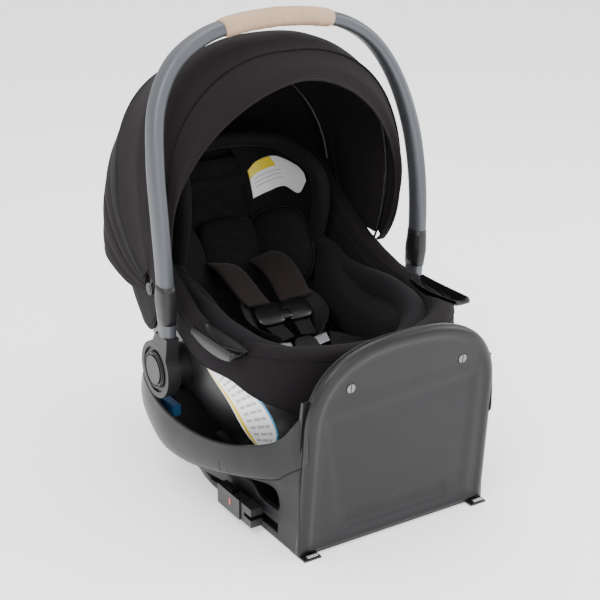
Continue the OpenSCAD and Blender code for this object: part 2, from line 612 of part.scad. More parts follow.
// Wire hoop of radius wire_r, with an eye round each canopy pin
wire_r = 1.9;
wire_n = 40;
pin_r = 5;
front_wire_w = bow_half_w - cloth_t - wire_r - 0.9;
module wire(path) {
  n = len(path) - 1;
  loft([for (i = [0:n])
    let (t = unit(path[min(i + 1, n)] - path[max(i - 1, 0)]), v = unit(cross(t, [0.1, 1, 0])))
    ring(path[i], v, cross(t, v), wire_r, wire_r, 2, 8)]);
}
module front_bow() color("silver") place() {
  wire([for (i = [0:wire_n])
    hoop_at(i / wire_n, front_wire_w, bow_r - cloth_t - wire_r - 3.6, bow_e, tilt_crest, 8)]);
  for (s = [-1, 1]) difference() {
    rod_x(s * (front_wire_w - wire_r), s * (front_wire_w + wire_r), pivot_y, pivot_z, 9);
    rod_x(s * (front_wire_w - 4), s * (front_wire_w + 4), pivot_y, pivot_z, pin_r + 0.05);
  }
}

mid_w = front_wire_w - wire_r - 0.5;
module canopy_mid() color("#40363a") place() cloth([
  [mid_w, bow_r - 14, bow_e, tilt_crest],
  [mid_w, bow_r - 16, bow_e, tilt_mid],
  [mid_w, bow_r - 18, bow_e, tilt_pipe]]);

rear_w = mid_w - cloth_t - 1;
tilt_lap = [for (t = tilt_pipe) [t[0], t[1] + 5]];
tilt_r1 = [[26, 8], [131, 30], [195, 42], [300, 48]];
tilt_r2 = [[26, -6], [131, 18], [195, 29], [282, 37]];
tilt_r3 = [[26, -16], [131, 6], [195, 15], [244, 24]];
tilt_hem = [[26, -24], [131, -4], [195, 4], [236, 15]];
module canopy_rear() color("#3d3337") place() cloth([
  [rear_w, bow_r - 23.4, bow_e, tilt_lap],
  [rear_w, bow_r - 25.2, bow_e, tilt_pipe],
  [rear_w, 301, 2.6, tilt_r1],
  [rear_w, 281, 2.8, tilt_r2],
  [rear_w, 254, 3, tilt_r3],
  [rear_w, 237, 3.2, tilt_hem]]);
module rear_bow() color("silver") place() wire([for (i = [9:31])
  hoop_at(i / wire_n, rear_w - cloth_t - wire_r - 1, bow_r - 27.2 - cloth_t - wire_r, bow_e, tilt_pipe)]);

// Soft visor hanging from the front band
tilt_visor = [[26, 150], [60, 139], [136, 120], [210, 113], [314, 110]];
tilt_drop = [for (t = tilt_front) [t[0], t[1] + min(t[0], 110) / 22]];
module canopy_visor() color("#4a3f41") place() cloth([
  [bow_half_w - 4.2, bow_r - 11.5, 2.3, tilt_front],
  [bow_half_w - 8, bow_r - 20, 2.05, tilt_drop],
  [bow_half_w - 12, bow_r - 28, 1.8, tilt_visor]]);

// ---------------------------------------------------------------- nodes

base_lower_shell();
base_rim();
panel_front();
panel_back();
panel_screws();
front_feet();
foot_pins();
sole_pads();
belt_liner_left();
belt_liner_right();
dock_tray();
dock_saddles();
belt_marker_left();
belt_marker_right();
anchor_rails();
anchor_body_left();
anchor_body_right();
anchor_button_left();
anchor_button_right();
carrier_shell();
foam_liner();
carrier_bars();
seat_cover();
seat_pad();
head_pillow();
bolster_left();
bolster_right();
belt_guide_left();
belt_guide_right();
side_label_left();
side_label_right();
head_label();
hub_mounts();
pivot_pins();
canopy_mounts();
release_housing();
release_lever();
shoulder_straps();
strap_covers();
chest_clip();
hip_straps();
buckle_tongues();
buckle_housing();
buckle_button();
crotch_strap();
adjuster_strap();
adjuster_housing();
adjuster_button();
handle_tube();
handle_grip();
hub_left();
hub_right();
handle_button_left();
handle_button_right();
canopy_rear();
rear_bow();
canopy_mid();
canopy_front();
front_bow();
canopy_visor();
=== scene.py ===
"""Looks of the infant car seat: cloth, padding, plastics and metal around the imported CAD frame.

Lengths are millimetres in the part's working frame (Y = 0 at the lower front edge of the base);
mesh builders turn them into metres in the row frame.
"""
import math

import bmesh
import bpy
import numpy as np
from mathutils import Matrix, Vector


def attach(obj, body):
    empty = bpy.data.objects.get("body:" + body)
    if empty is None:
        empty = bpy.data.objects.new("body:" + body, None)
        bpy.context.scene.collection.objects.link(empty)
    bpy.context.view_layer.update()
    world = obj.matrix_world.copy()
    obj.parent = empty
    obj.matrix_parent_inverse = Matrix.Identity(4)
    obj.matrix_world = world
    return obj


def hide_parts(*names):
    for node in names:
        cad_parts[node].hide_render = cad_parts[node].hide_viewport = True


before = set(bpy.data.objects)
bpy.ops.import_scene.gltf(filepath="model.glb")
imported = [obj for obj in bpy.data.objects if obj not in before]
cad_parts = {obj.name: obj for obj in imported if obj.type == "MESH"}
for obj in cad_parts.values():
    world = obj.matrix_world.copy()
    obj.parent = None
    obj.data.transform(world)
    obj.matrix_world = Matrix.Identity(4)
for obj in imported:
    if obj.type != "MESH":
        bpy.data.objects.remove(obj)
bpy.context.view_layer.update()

# ------------------------------------------------------------------ driving sizes, as in the CAD

MID_Y = 267.6
BASE_HALF_W, RIM_HALF_W, BASE_LEN, SOLE_LEN = 152, 214, 432, 330
PANEL_TOP, PANEL_LEAN, PANEL_SIDE, ARCH_Z, PANEL_POWER, PANEL_LOW = 297, 5, 150, 170, 2.6, 2.8
SHELL_HALF_W, SHELL_FRONT_Y, SHELL_REAR_Y, RIM_Z, HEAD_Z, SHELL_LOW_Z = 188, 26, 544, 258, 440, 56
HUB_Y, HUB_Z, HUB_OUT_X = 272, 186, 222
TUBE_W, TUBE_T, GRIP_HALF = 30, 20, 80
PIVOT_Y, PIVOT_Z, BOW_R, BOW_HALF_W = 335, 280, 342, 196.4
BELT_Y, BELT_Z, BELT_W, BELT_H = 80, 68, 60, 46
SLOT_Y0, SLOT_Y1, SLOT_Z = 56, 236, 20
PLASTIC_T, CLOTH_T, WIRE_R = 3.5, 2.6, 1.9
GUIDE_Y, GUIDE_HALF = 152, 55

# ------------------------------------------------------------------ small maths


def smooth(table, p):
    """Smooth curve through a short table of (position, value) rows; p may be an array."""
    xs = np.array([row[0] for row in table], float)
    vs = np.array([row[1] for row in table], float)
    q = np.clip(np.asarray(p, float), xs[0], xs[-1])
    i = np.clip(np.searchsorted(xs, q, side="right") - 1, 0, len(xs) - 2)
    lo, hi = np.maximum(np.arange(len(xs)) - 1, 0), np.minimum(np.arange(len(xs)) + 1, len(xs) - 1)
    run = (xs[hi] - xs[lo]).reshape((-1,) + (1,) * (vs.ndim - 1))
    slopes = (vs[hi] - vs[lo]) / run
    h = xs[i + 1] - xs[i]
    s = (q - xs[i]) / h
    if vs.ndim > 1:
        s, h = s[..., None], h[..., None]
    s2, s3 = s * s, s * s * s
    return (vs[i] * (2 * s3 - 3 * s2 + 1) + vs[i + 1] * (3 * s2 - 2 * s3)
            + slopes[i] * h * (s3 - 2 * s2 + s) + slopes[i + 1] * h * (s3 - s2))


def step(a, b, x):
    """0 before a, 1 after b, smooth between."""
    t = np.clip((np.asarray(x, float) - a) / (b - a), 0, 1)
    return t * t * (3 - 2 * t)


def power(v, e):
    return np.sign(v) * np.abs(v) ** e


def unit(v):
    v = np.asarray(v, float)
    return v / np.maximum(np.linalg.norm(v, axis=-1, keepdims=True), 1e-9)


def metres(points):
    """Working frame in millimetres to the row frame in metres."""
    return (np.asarray(points, float) - [0, MID_Y, 0]) / 1000


def ripple(points, size, seed):
    """Slow waves over the points, about -1 to 1, repeatable; size is a wave's length in mm."""
    rng = np.random.default_rng(seed)
    total = np.zeros(points.shape[:-1])
    for _ in range(7):
        direction = unit(rng.normal(size=3))
        total += np.sin(points @ direction * (2 * math.pi / (size * rng.uniform(0.7, 1.5)))
                        + rng.uniform(0, 6.28))
    return total / 3.5


# ------------------------------------------------------------------ mesh builders


def add_mesh(name, points, faces, body=None, shade=True, which=None):
    mesh = bpy.data.meshes.new(name)
    mesh.from_pydata(metres(points).tolist(), [], faces)
    if which is not None:
        mesh.polygons.foreach_set("material_index", np.array(which, np.int32))
    mesh.validate()
    bm = bmesh.new()
    bm.from_mesh(mesh)
    bmesh.ops.recalc_face_normals(bm, faces=bm.faces)
    bm.to_mesh(mesh)
    bm.free()
    obj = bpy.data.objects.new(name, mesh)
    bpy.context.scene.collection.objects.link(obj)
    if shade:
        mesh.shade_smooth()
    if body:
        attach(obj, body)
    return obj


def grid_faces(rows, cols, loop, start=0):
    wrap = cols if loop else cols - 1
    return [(start + r * cols + c, start + r * cols + (c + 1) % cols,
             start + (r + 1) * cols + (c + 1) % cols, start + (r + 1) * cols + c)
            for r in range(rows - 1) for c in range(wrap)]


def wall(name, outer, inner, body, loop=False, floor=False, skins=None):
    """Closed wall between two grids of points; loop: the columns run round; floor: closed below.
    skins are the finishes of the outer skin with its edges and of the inner skin."""
    outer, inner = np.asarray(outer), np.asarray(inner)
    rows, cols = outer.shape[:2]
    k = rows * cols
    points = np.concatenate([outer.reshape(-1, 3), inner.reshape(-1, 3)])
    faces = grid_faces(rows, cols, loop) + [f[::-1] for f in grid_faces(rows, cols, loop, k)]
    skin_size = len(faces) // 2
    wrap = cols if loop else cols - 1
    last = (rows - 1) * cols
    for c in range(wrap):
        d = (c + 1) % cols
        faces.append((c, c + k, d + k, d))
        if not floor:
            faces.append((last + c, last + d, last + d + k, last + c + k))
    if floor:
        faces.append(tuple(last + c for c in range(cols)))
        faces.append(tuple(last + k + c for c in range(cols))[::-1])
    if not loop:
        for r in range(rows - 1):
            a, b = r * cols, (r + 1) * cols
            faces.append((a, b, b + k, a + k))
            faces.append((b + cols - 1, a + cols - 1, a + cols - 1 + k, b + cols - 1 + k))
    which = [1 if skin_size <= i < 2 * skin_size else 0 for i in range(len(faces))]
    obj = add_mesh(name, points, faces, body, which=which if skins else None)
    for key in skins or ():
        obj.data.materials.append(MAT[key])
    return obj


def loft(name, rings, body, close=False):
    """Solid through rings; close joins the last ring to the first, and else both ends are capped."""
    rings = np.asarray(rings)
    m, n = rings.shape[:2]
    faces = grid_faces(m, n, True)
    if close:
        faces += [((m - 1) * n + c, (m - 1) * n + (c + 1) % n, (c + 1) % n, c) for c in range(n)]
    else:
        faces += [tuple(range(n))[::-1], tuple((m - 1) * n + c for c in range(n))]
    return add_mesh(name, rings.reshape(-1, 3), faces, body)


def ring(centre, u, v, a, b, e=2.0, n=24):
    t = np.arange(n) * 2 * math.pi / n
    return (np.asarray(centre) + np.outer(a * power(np.cos(t), 2 / e), u)
            + np.outer(b * power(np.sin(t), 2 / e), v))


def tangents(path):
    path = np.asarray(path, float)
    return unit(np.gradient(path, axis=0))


def sweep(name, path, width, height, body, across=None, e=2.0, n=16, close=False):
    """Tube or strap along a path. across is the width direction, one vector or one for each point."""
    path = np.asarray(path, float)
    if close:
        t = unit(np.roll(path, -1, 0) - np.roll(path, 1, 0))
    else:
        t = tangents(path)
    across = np.array([1.0, 0, 0]) if across is None else np.asarray(across, float)
    across = np.broadcast_to(across, path.shape)
    side = unit(across - t * np.sum(across * t, 1)[:, None])
    up = np.cross(side, t)
    width, height = np.broadcast_to(width, len(path)), np.broadcast_to(height, len(path))
    rings = [ring(path[i], side[i], up[i], width[i] / 2, height[i] / 2, e, n) for i in range(len(path))]
    return loft(name, rings, body, close)


def modifier(obj, kind, **values):
    m = obj.modifiers.new(kind.lower(), kind)
    for key, value in values.items():
        setattr(m, key, value)
    return m


def apply_all(obj):
    """Bakes the modifiers into the mesh."""
    dg = bpy.context.evaluated_depsgraph_get()
    mesh = bpy.data.meshes.new_from_object(obj.evaluated_get(dg))
    obj.modifiers.clear()
    obj.data = mesh
    mesh.shade_smooth()
    return obj


def cut(obj, *tools):
    """Takes the tool solids out of obj and throws them away."""
    for tool in tools:
        modifier(obj, "BOOLEAN", object=tool, operation="DIFFERENCE", solver="EXACT")
    bpy.context.view_layer.update()
    apply_all(obj)
    for tool in tools:
        bpy.data.objects.remove(tool)
    return obj


def box_solid(name, x, y, z, body=None, round_mm=0.0):
    points = [(a, b, c) for a in x for b in y for c in z]
    faces = [(0, 1, 3, 2), (4, 6, 7, 5), (0, 4, 5, 1), (2, 3, 7, 6), (0, 2, 6, 4), (1, 5, 7, 3)]
    obj = add_mesh(name, points, faces, body, shade=round_mm > 0)
    if round_mm:
        modifier(obj, "BEVEL", width=round_mm / 1000, segments=3, limit_method="ANGLE")
        bpy.context.view_layer.update()
        apply_all(obj)
        if body:
            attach(obj, body)
    return obj


# ------------------------------------------------------------------ materials


class Look:
    """A material being built: its nodes, links and main shader."""

    def __init__(self, name):
        self.mat = bpy.data.materials.new(name)
        self.mat.use_nodes = True
        self.nodes, self.links = self.mat.node_tree.nodes, self.mat.node_tree.links
        self.shader = self.nodes["Principled BSDF"]

    def node(self, kind, vector=None, **inputs):
        made = self.nodes.new(kind)
        for key, value in inputs.items():
            key = key.replace("_", " ")
            made.inputs[key].default_value = value
        if vector is not None:
            self.links.new(vector, made.inputs["Vector"])
        return made

    def where(self, scale=(1, 1, 1), turn=(0, 0, 0)):
        place = self.nodes.new("ShaderNodeTexCoord")
        return self.node("ShaderNodeMapping", place.outputs["Object"], Scale=scale,
                         Rotation=turn).outputs["Vector"]

    def noise(self, vector, scale, detail, roughness=0.6):
        made = self.node("ShaderNodeTexNoise", vector, Scale=scale, Detail=detail, Roughness=roughness)
        return made.outputs["Fac"]

    def maths(self, operation, *values, clamp=False):
        made = self.nodes.new("ShaderNodeMath")
        made.operation, made.use_clamp = operation, clamp
        for socket, value in zip(made.inputs, values):
            if hasattr(value, "is_linked"):
                self.links.new(value, socket)
            else:
                socket.default_value = value
        return made.outputs[0]

    def blend(self, *parts):
        """Sum of sockets, each times its share."""
        total = None
        for socket, share in parts:
            part = self.maths("MULTIPLY", socket, share)
            total = part if total is None else self.maths("ADD", total, part)
        return total

    def colour(self, factor, dark, light):
        ramp = self.nodes.new("ShaderNodeValToRGB")
        ramp.color_ramp.elements[0].color = (*dark, 1)
        ramp.color_ramp.elements[1].color = (*light, 1)
        self.links.new(factor, ramp.inputs["Fac"])
        self.links.new(ramp.outputs["Color"], self.shader.inputs["Base Color"])

    def vary_roughness(self, factor, low, high):
        span = self.node("ShaderNodeMapRange", To_Min=low, To_Max=high)
        self.links.new(factor, span.inputs["Value"])
        self.links.new(span.outputs["Result"], self.shader.inputs["Roughness"])

    def set(self, **values):
        for key, value in values.items():
            self.shader.inputs[key.replace("_", " ")].default_value = value

    def bump(self, height, strength, distance):
        made = self.node("ShaderNodeBump", Strength=strength, Distance=distance)
        self.links.new(height, made.inputs["Height"])
        self.links.new(made.outputs["Normal"], self.shader.inputs["Normal"])
        return self.mat


def woven(name, dark, light, pitch=0.9, sheen=0.03, rough=0.9, weave=0.5):
    """Close plain weave with a melange of darker and lighter yarn. pitch is the yarn spacing in mm."""
    look = Look(name)
    where = look.where()
    yarn = []
    for axis in ("X", "Y", "Z"):
        wave = look.node("ShaderNodeTexWave", where, Scale=1000 / pitch / 6.283 * 2, Distortion=1.2,
                         Detail=1.0, Detail_Scale=0.6)
        wave.bands_direction = axis
        yarn.append(wave.outputs["Fac"])
    cloth = look.maths("MULTIPLY", look.maths("ADD", yarn[0], yarn[1]), 0.5)
    cloth = look.maths("MAXIMUM", cloth, yarn[2])
    streaks = look.noise(look.where((260, 260, 900)), 1.0, 2.0)
    cloud = look.noise(where, 9.0, 4.0)
    fleck = look.noise(where, 700.0, 2.0, 0.7)
    tone = look.blend((streaks, 0.5), (fleck, 0.35), (cloud, 0.3))
    look.colour(look.maths("SUBTRACT", tone, 0.18, clamp=True), dark, light)
    look.set(Roughness=rough, Sheen_Weight=sheen, Sheen_Roughness=0.45, Specular_IOR_Level=0.16)
    height = look.maths("ADD", look.maths("MULTIPLY", cloth, weave), fleck)
    return look.bump(height, 0.35, 0.0004)


def knit(name, dark, light, pitch=4.2, dent=0.0009):
    """Honeycomb spacer knit: rows of small dents with a rib between them; the dents carry painted shade and
    the ribs painted light.
    """
    look = Look(name)
    where = look.where((1, 1, 1), (0.25, 0.2, 0.1))
    cells = look.node("ShaderNodeTexVoronoi", where, Scale=1000 / pitch, Randomness=0.18)
    cells.feature = "F1"
    fleck = look.noise(where, 900.0, 2.0, 0.7)
    cloud = look.noise(where, 12.0, 3.0)
    tone = look.blend((cells.outputs["Distance"], 1.1), (fleck, 0.3), (cloud, 0.25))
    # The colour follows the dent depth: painted shade darkens the dents and painted light makes the ribs
    # between them lighter
    look.colour(look.maths("SUBTRACT", tone, 0.25, clamp=True), dark, light)
    look.set(Roughness=0.9, Sheen_Weight=0.02, Sheen_Roughness=0.5, Specular_IOR_Level=0.16)
    height = look.maths("ADD", cells.outputs["Distance"], look.maths("MULTIPLY", fleck, 0.2))
    return look.bump(height, 0.6, dent)


def moulded(name, colour, rough=0.5, grain=0.25, gloss=0.0, vary=0.25, specular=0.5):
    """Moulded plastic: fine spark grain, slight tone drift and polished handling marks."""
    look = Look(name)
    where = look.where()
    fine = look.noise(where, 1500.0, 2.0)
    light = tuple(min(1.0, c * (1 + vary)) for c in colour)
    dark = tuple(c * (1 - vary * 0.6) for c in colour)
    look.colour(look.noise(where, 7.0, 4.0), dark, light)
    look.vary_roughness(look.noise(where, 30.0, 5.0, 0.65), max(0.05, rough - 0.08), min(1.0, rough + 0.1))
    look.set(Specular_IOR_Level=specular, Coat_Weight=gloss, Coat_Roughness=0.25)
    return look.bump(fine, grain, 0.00012)


def metal(name, colour, rough=0.35, metallic=1.0):
    """Satin metal with a faint brushed grain."""
    look = Look(name)
    grain = look.noise(look.where((60, 1400, 1400)), 1.0, 2.0)
    look.colour(look.noise(look.where(), 10.0, 3.0), tuple(c * 0.9 for c in colour), colour)
    look.set(Metallic=metallic)
    look.vary_roughness(grain, rough - 0.05, rough + 0.09)
    return look.bump(grain, 0.1, 0.00005)


def leather(name, dark, light):
    """Tan leather with a pebble grain and darker creases."""
    look = Look(name)
    where = look.where()
    cells = look.node("ShaderNodeTexVoronoi", where, Scale=620.0, Randomness=1.0)
    cells.feature = "DISTANCE_TO_EDGE"
    crease = look.node("ShaderNodeMapRange", From_Max=0.25)
    look.links.new(cells.outputs["Distance"], crease.inputs["Value"])
    pebble = crease.outputs["Result"]
    fine = look.noise(where, 1800.0, 2.0)
    look.colour(look.blend((look.noise(where, 40.0, 5.0, 0.65), 0.7), (pebble, 0.35)), dark, light)
    look.set(Roughness=0.62, Specular_IOR_Level=0.4)
    height = look.maths("ADD", pebble, look.maths("MULTIPLY", fine, 0.3))
    return look.bump(height, 0.4, 0.0003)


def flat_film(name, colour):
    """Printed film: even colour with a slight orange-peel gloss."""
    return moulded(name, colour, 0.45, 0.05, 0.15, 0.05)


MAT = {
    "outer": woven("outer_fabric", (0.0042, 0.0031, 0.0035), (0.016, 0.0115, 0.013), 0.9, 0.015),
    "outer_soft": woven("cover_fabric", (0.0034, 0.0027, 0.0034), (0.0125, 0.0095, 0.0118), 0.9, 0.015),
    "lining": woven("lining_fabric", (0.003, 0.0026, 0.003), (0.009, 0.008, 0.009), 0.8, 0.02),
    "piping": woven("piping_fabric", (0.005, 0.004, 0.0045), (0.018, 0.0145, 0.0155), 0.7, 0.03),
    "lining_brown": woven("canopy_lining", (0.0045, 0.0034, 0.0038), (0.015, 0.0115, 0.0125), 0.9, 0.02),
    "piping_grey": woven("piping_grey", (0.009, 0.0095, 0.012), (0.03, 0.032, 0.038), 0.7, 0.03),
    "knit_fine": knit("border_knit", (0.0026, 0.0026, 0.0033), (0.0095, 0.0092, 0.011), 3.0, 0.0004),
    "knit": knit("insert_knit", (0.002, 0.002, 0.0025), (0.009, 0.009, 0.0105)),
    "jersey": woven("insert_jersey", (0.0028, 0.0027, 0.0035), (0.0095, 0.009, 0.011), 0.8, 0.025),
    "strap": woven("strap_cover", (0.0075, 0.005, 0.0048), (0.026, 0.019, 0.018), 0.8, 0.05),
    "webbing": woven("webbing", (0.004, 0.0035, 0.0035), (0.015, 0.013, 0.013), 1.4, 0.03, 0.75, 1.0),
    "shell": moulded("shell_plastic", (0.006, 0.006, 0.007), 0.42, 0.3, 0.0, 0.3),
    "base": moulded("base_plastic", (0.011, 0.011, 0.0125), 0.5, 0.35, 0.0, 0.12, 0.28),
    "base_dark": moulded("base_inner_plastic", (0.009, 0.009, 0.01), 0.55, 0.35, 0.0, 0.2),
    "tray": moulded("tray_plastic", (0.006, 0.006, 0.007), 0.55, 0.3, 0.0, 0.15, 0.35),
    "rim": moulded("rim_plastic", (0.008, 0.008, 0.009), 0.36, 0.12, 0.0, 0.12, 0.3),
    "black": moulded("black_plastic", (0.006, 0.006, 0.0065), 0.4, 0.25, 0.0, 0.3),
    "black_gloss": moulded("black_gloss_plastic", (0.0035, 0.0035, 0.004), 0.28, 0.05, 0.0, 0.2, 0.35),
    "hub": moulded("hub_plastic", (0.006, 0.006, 0.007), 0.42, 0.3, 0.0, 0.2, 0.4),
    "red": moulded("red_plastic", (0.75, 0.035, 0.018), 0.35, 0.05, 0.3, 0.1),
    "blue": moulded("blue_plastic", (0.01, 0.06, 0.16), 0.4, 0.1, 0.1, 0.2),
    "rubber": moulded("rubber", (0.012, 0.012, 0.012), 0.75, 0.4, 0.0, 0.3, 0.3),
    "steel": metal("steel", (0.3, 0.3, 0.32), 0.34),
    "steel_dark": metal("steel_dark", (0.2, 0.2, 0.21)),
    "tube": metal("handle_metal", (0.085, 0.09, 0.1), 0.42, 0.6),
    "leather": leather("grip_leather", (0.3, 0.185, 0.115), (0.5, 0.345, 0.235)),
    "thread": moulded("thread", (0.5, 0.4, 0.32), 0.7, 0.3, 0.0, 0.1),
    "label": flat_film("label_white", (0.86, 0.87, 0.88)),
    "label_yellow": flat_film("label_yellow", (0.82, 0.62, 0.03)),
    "label_blue": flat_film("label_blue", (0.05, 0.3, 0.55)),
    "label_grey": flat_film("label_grey", (0.42, 0.43, 0.45)),
}


def dress(obj, key):
    obj.data.materials.clear()
    obj.data.materials.append(MAT[key])
    return obj


def paint_node(name, key, bevel=0.0):
    """Keeps a CAD node and gives it a finish, with its edges eased by bevel mm."""
    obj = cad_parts[name]
    obj.data.materials.clear()
    obj.data.materials.append(MAT[key])
    for polygon in obj.data.polygons:
        polygon.material_index = 0
    if bevel:
        modifier(obj, "BEVEL", width=bevel / 1000, segments=2, limit_method="ANGLE",
                 angle_limit=math.radians(35), harden_normals=False)
    return obj


# ------------------------------------------------------------------ base


def full_loop(half):
    """Right half of a plan, from the rear middle to the front, joined to its mirror image."""
    mirror = half[:0:-1] * [-1, 1]
    return np.concatenate([half, mirror])


def inset(loop, d):
    t = unit(np.roll(loop, -1, 0) - np.roll(loop, 1, 0))
    return loop + d * np.stack([t[:, 1], -t[:, 0]], 1)


RIM_PLAN = [[0, [0, BASE_LEN]], [1, [95, BASE_LEN - 3]], [2, [160, BASE_LEN - 30]],
            [3, [200, BASE_LEN - 84]], [4, [RIM_HALF_W, 275]], [5, [RIM_HALF_W - 4, 200]],
            [6, [198, 120]], [7, [182, 70]], [8, [166, 34]], [9, [152.5, 2]]]
SOLE_PLAN = [[0, [0, SOLE_LEN]], [1, [70, SOLE_LEN - 2]], [2, [118, SOLE_LEN - 12]],
             [3, [143, SOLE_LEN - 42]]]
SOLE_PLAN += [[4 + i, [BASE_HALF_W, y]] for i, y in enumerate((240, 180, 112, 66, 34, 3))]
SEAM_Z = [[0, 134], [20, 119], [34, 107], [65, 98], [108, 89], [160, 78], [210, 71], [270, 73],
          [340, 92], [395, 84], [432, 66]]
EDGE_Z = [[-8, 234], [1, 208], [20, 177], [39, 159], [65, 147], [108, 134], [160, 126], [216, 126],
          [275, 135], [340, 146], [395, 132], [420, 106], [432, 94]]
FLARE = [[3, 6], [34, 6], [160, 5], [230, 2.4], [300, 1.3], [432, 1]]
HALF = 110
plan_at = np.linspace(0, 9, HALF)
sole_half, rim_half = smooth(SOLE_PLAN, plan_at), smooth(RIM_PLAN, plan_at)
sole_loop, rim_loop = full_loop(sole_half), full_loop(rim_half)


def hull_row(s, d):
    low, high = inset(sole_loop, d), inset(rim_loop, d)
    out = s ** smooth(FLARE, high[:, 1])
    z = smooth(SEAM_Z, high[:, 1]) * s + (1 - s) * (d + 2)
    return np.column_stack([low[:, 0] + (high[:, 0] - low[:, 0]) * out,
                            low[:, 1] + (high[:, 1] - low[:, 1]) * out, z])


hull_steps = np.linspace(1, 0, 30)
hull = wall("base_hull", [hull_row(s, 0) for s in hull_steps], [hull_row(s, PLASTIC_T) for s in hull_steps],
            None, loop=True, floor=True, skins=("base", "base_dark"))


def rod(name, start, end, radius, n=64, squeeze=1.0, e=2.0, up=(0, 0, 1)):
    axis = unit(np.asarray(end, float) - start)
    v = unit(np.cross(axis, up))
    w = np.cross(v, axis)
    return loft(name, [ring(start, v, w, radius, radius * squeeze, e, n),
                       ring(end, v, w, radius, radius * squeeze, e, n)], None)


belt_cut = rod("belt_cut", (-260, BELT_Y, BELT_Z), (260, BELT_Y, BELT_Z), BELT_W / 2 + 0.3, 64,
               BELT_H / BELT_W, 4.0)
slot_cut = box_solid("slot_cut", (-260, 260), (SLOT_Y0, SLOT_Y1), (SLOT_Z - 8, SLOT_Z + 8))
cut(hull, belt_cut, slot_cut)
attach(hull, "base")
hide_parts("base_lower_shell")

# Band round the top: it bulges, ends in a rounded lip and sweeps up into the panel at the front.
band_half = np.concatenate([plan_at[:-1], np.linspace(9, 9.9, 14)])
band_xy = smooth(RIM_PLAN + [[10, [148, -14]]], band_half)
band_full = full_loop(band_xy)
split = len(band_xy)
band_path = np.concatenate([band_full[split:], band_full[:split]])
seam_z = smooth([[-14, 146]] + SEAM_Z, band_path[:, 1])
edge_z = smooth([[-14, 250]] + EDGE_Z, band_path[:, 1])
band_t = unit(np.gradient(band_path, axis=0))
band_out = np.stack([band_t[:, 1], -band_t[:, 0]], 1)
if band_out[len(band_out) // 2, 1] < 0:
    band_out = -band_out
swell = step(-6, 60, band_path[:, 1])
BAND_SECTION = [(0.0, -1.5), (0.02, 0.6), (0.08, 2.0), (0.2, 3.8), (0.38, 5.0), (0.55, 5.2), (0.72, 4.6),
                (0.86, 3.2), (0.93, 2.4), (0.97, 2.2), (0.99, 1.4), (1.0, 0.2), (1.0, -1.6), (0.985, -3.0),
                (0.95, -3.6), (0.8, -3.4), (0.5, -1.0), (0.2, -3.4), (0.03, -5.0)]
band_rings = []
for i in range(len(band_path)):
    section = []
    for f, out in BAND_SECTION:
        reach = out * (0.35 + 0.65 * swell[i])
        xy = band_path[i] + band_out[i] * reach
        z = seam_z[i] + (edge_z[i] - seam_z[i]) * f
        arch = 1 - (max(z - ARCH_Z, 0) / (PANEL_TOP - ARCH_Z)) ** PANEL_POWER
        most = (PANEL_SIDE - 1.5) * arch ** (1 / PANEL_POWER) + max(0, xy[1] - 2) * 1.3
        if z < ARCH_Z:
            most += (ARCH_Z - z) / 20
        section.append([max(-most, min(most, xy[0])), xy[1], z])
    band_rings.append(section)
band = loft("base_band", band_rings, "base")
dress(band, "rim")
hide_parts("base_rim")
for side in (-1, 1):
    arch = []
    for t in np.linspace(0, math.pi, 22):
        arch.append([115 - 7.5 * math.cos(t), 96 + 19 * math.sin(t)])
    line = []
    for y, z in [[arch[0][0], 90]] + arch + [[arch[-1][0], 90]]:
        i = int(np.argmin(np.abs(band_path[:, 1] - y) + 900 * (band_path[:, 0] * side < 0)))
        f = (z - seam_z[i]) / (edge_z[i] - seam_z[i])
        reach = np.interp(f, [p[0] for p in BAND_SECTION[:10]], [p[1] for p in BAND_SECTION[:10]])
        xy = band_path[i] + band_out[i] * (reach * (0.35 + 0.65 * swell[i]) - 0.1)
        line.append([xy[0], y, z])
    mark = sweep(f"band_arch_{'left' if side < 0 else 'right'}", line, 1.1, 1.1, "base", (0, 1, 0), n=8)
    dress(mark, "base_dark")

# Panel: a leaning moulding with a rounded, glossy lip and a shallow recess in its face.
LEAN = math.radians(PANEL_LEAN)


def lean(x, y, z):
    """Point of the upright panel, turned back by its lean."""
    x, y, z = np.broadcast_arrays(x, y, z)
    return np.stack([x, y * math.cos(LEAN) - z * math.sin(LEAN), y * math.sin(LEAN) + z * math.cos(LEAN)], -1)


def panel_outline(d, n_arch=120, n_side=26, n_foot=40):
    a = np.linspace(0, math.pi, n_arch)
    arch = np.stack([(PANEL_SIDE - d) * power(np.cos(a), 2 / PANEL_POWER),
                     ARCH_Z + (PANEL_TOP - ARCH_Z - d) * power(np.sin(a), 2 / PANEL_POWER)], 1)
    low = np.array([BASE_HALF_W + 0.6 - d, PANEL_LOW + d * 0.6])
    t = np.linspace(0, 1, n_side, endpoint=False)[:, None]
    right = low * (1 - t) + arch[0] * t
    left = arch[-1] * (1 - t) + low * [-1, 1] * t
    foot = low * [-1, 1] + np.linspace(0, 1, n_foot, endpoint=False)[:, None] * [2 * low[0], 0]
    return np.concatenate([right, arch[:-1], left, foot])


def face_depth(x, z):
    """How far the panel's face lies behind its lip."""
    wide = step(-114, -102, x + 0.18 * (z - 120)) * (1 - step(106, 120, x)) * step(30, 44, z)
    dish = 1.6 * wide * (1 - step(196, 214, z - 0.06 * x))
    tray = step(-86, -80, x + 0.25 * (z - 40)) * (1 - step(84, 90, x + 0.1 * z)) * step(24, 27, z)
    return dish + 1.5 * tray * (1 - step(50, 54, z))


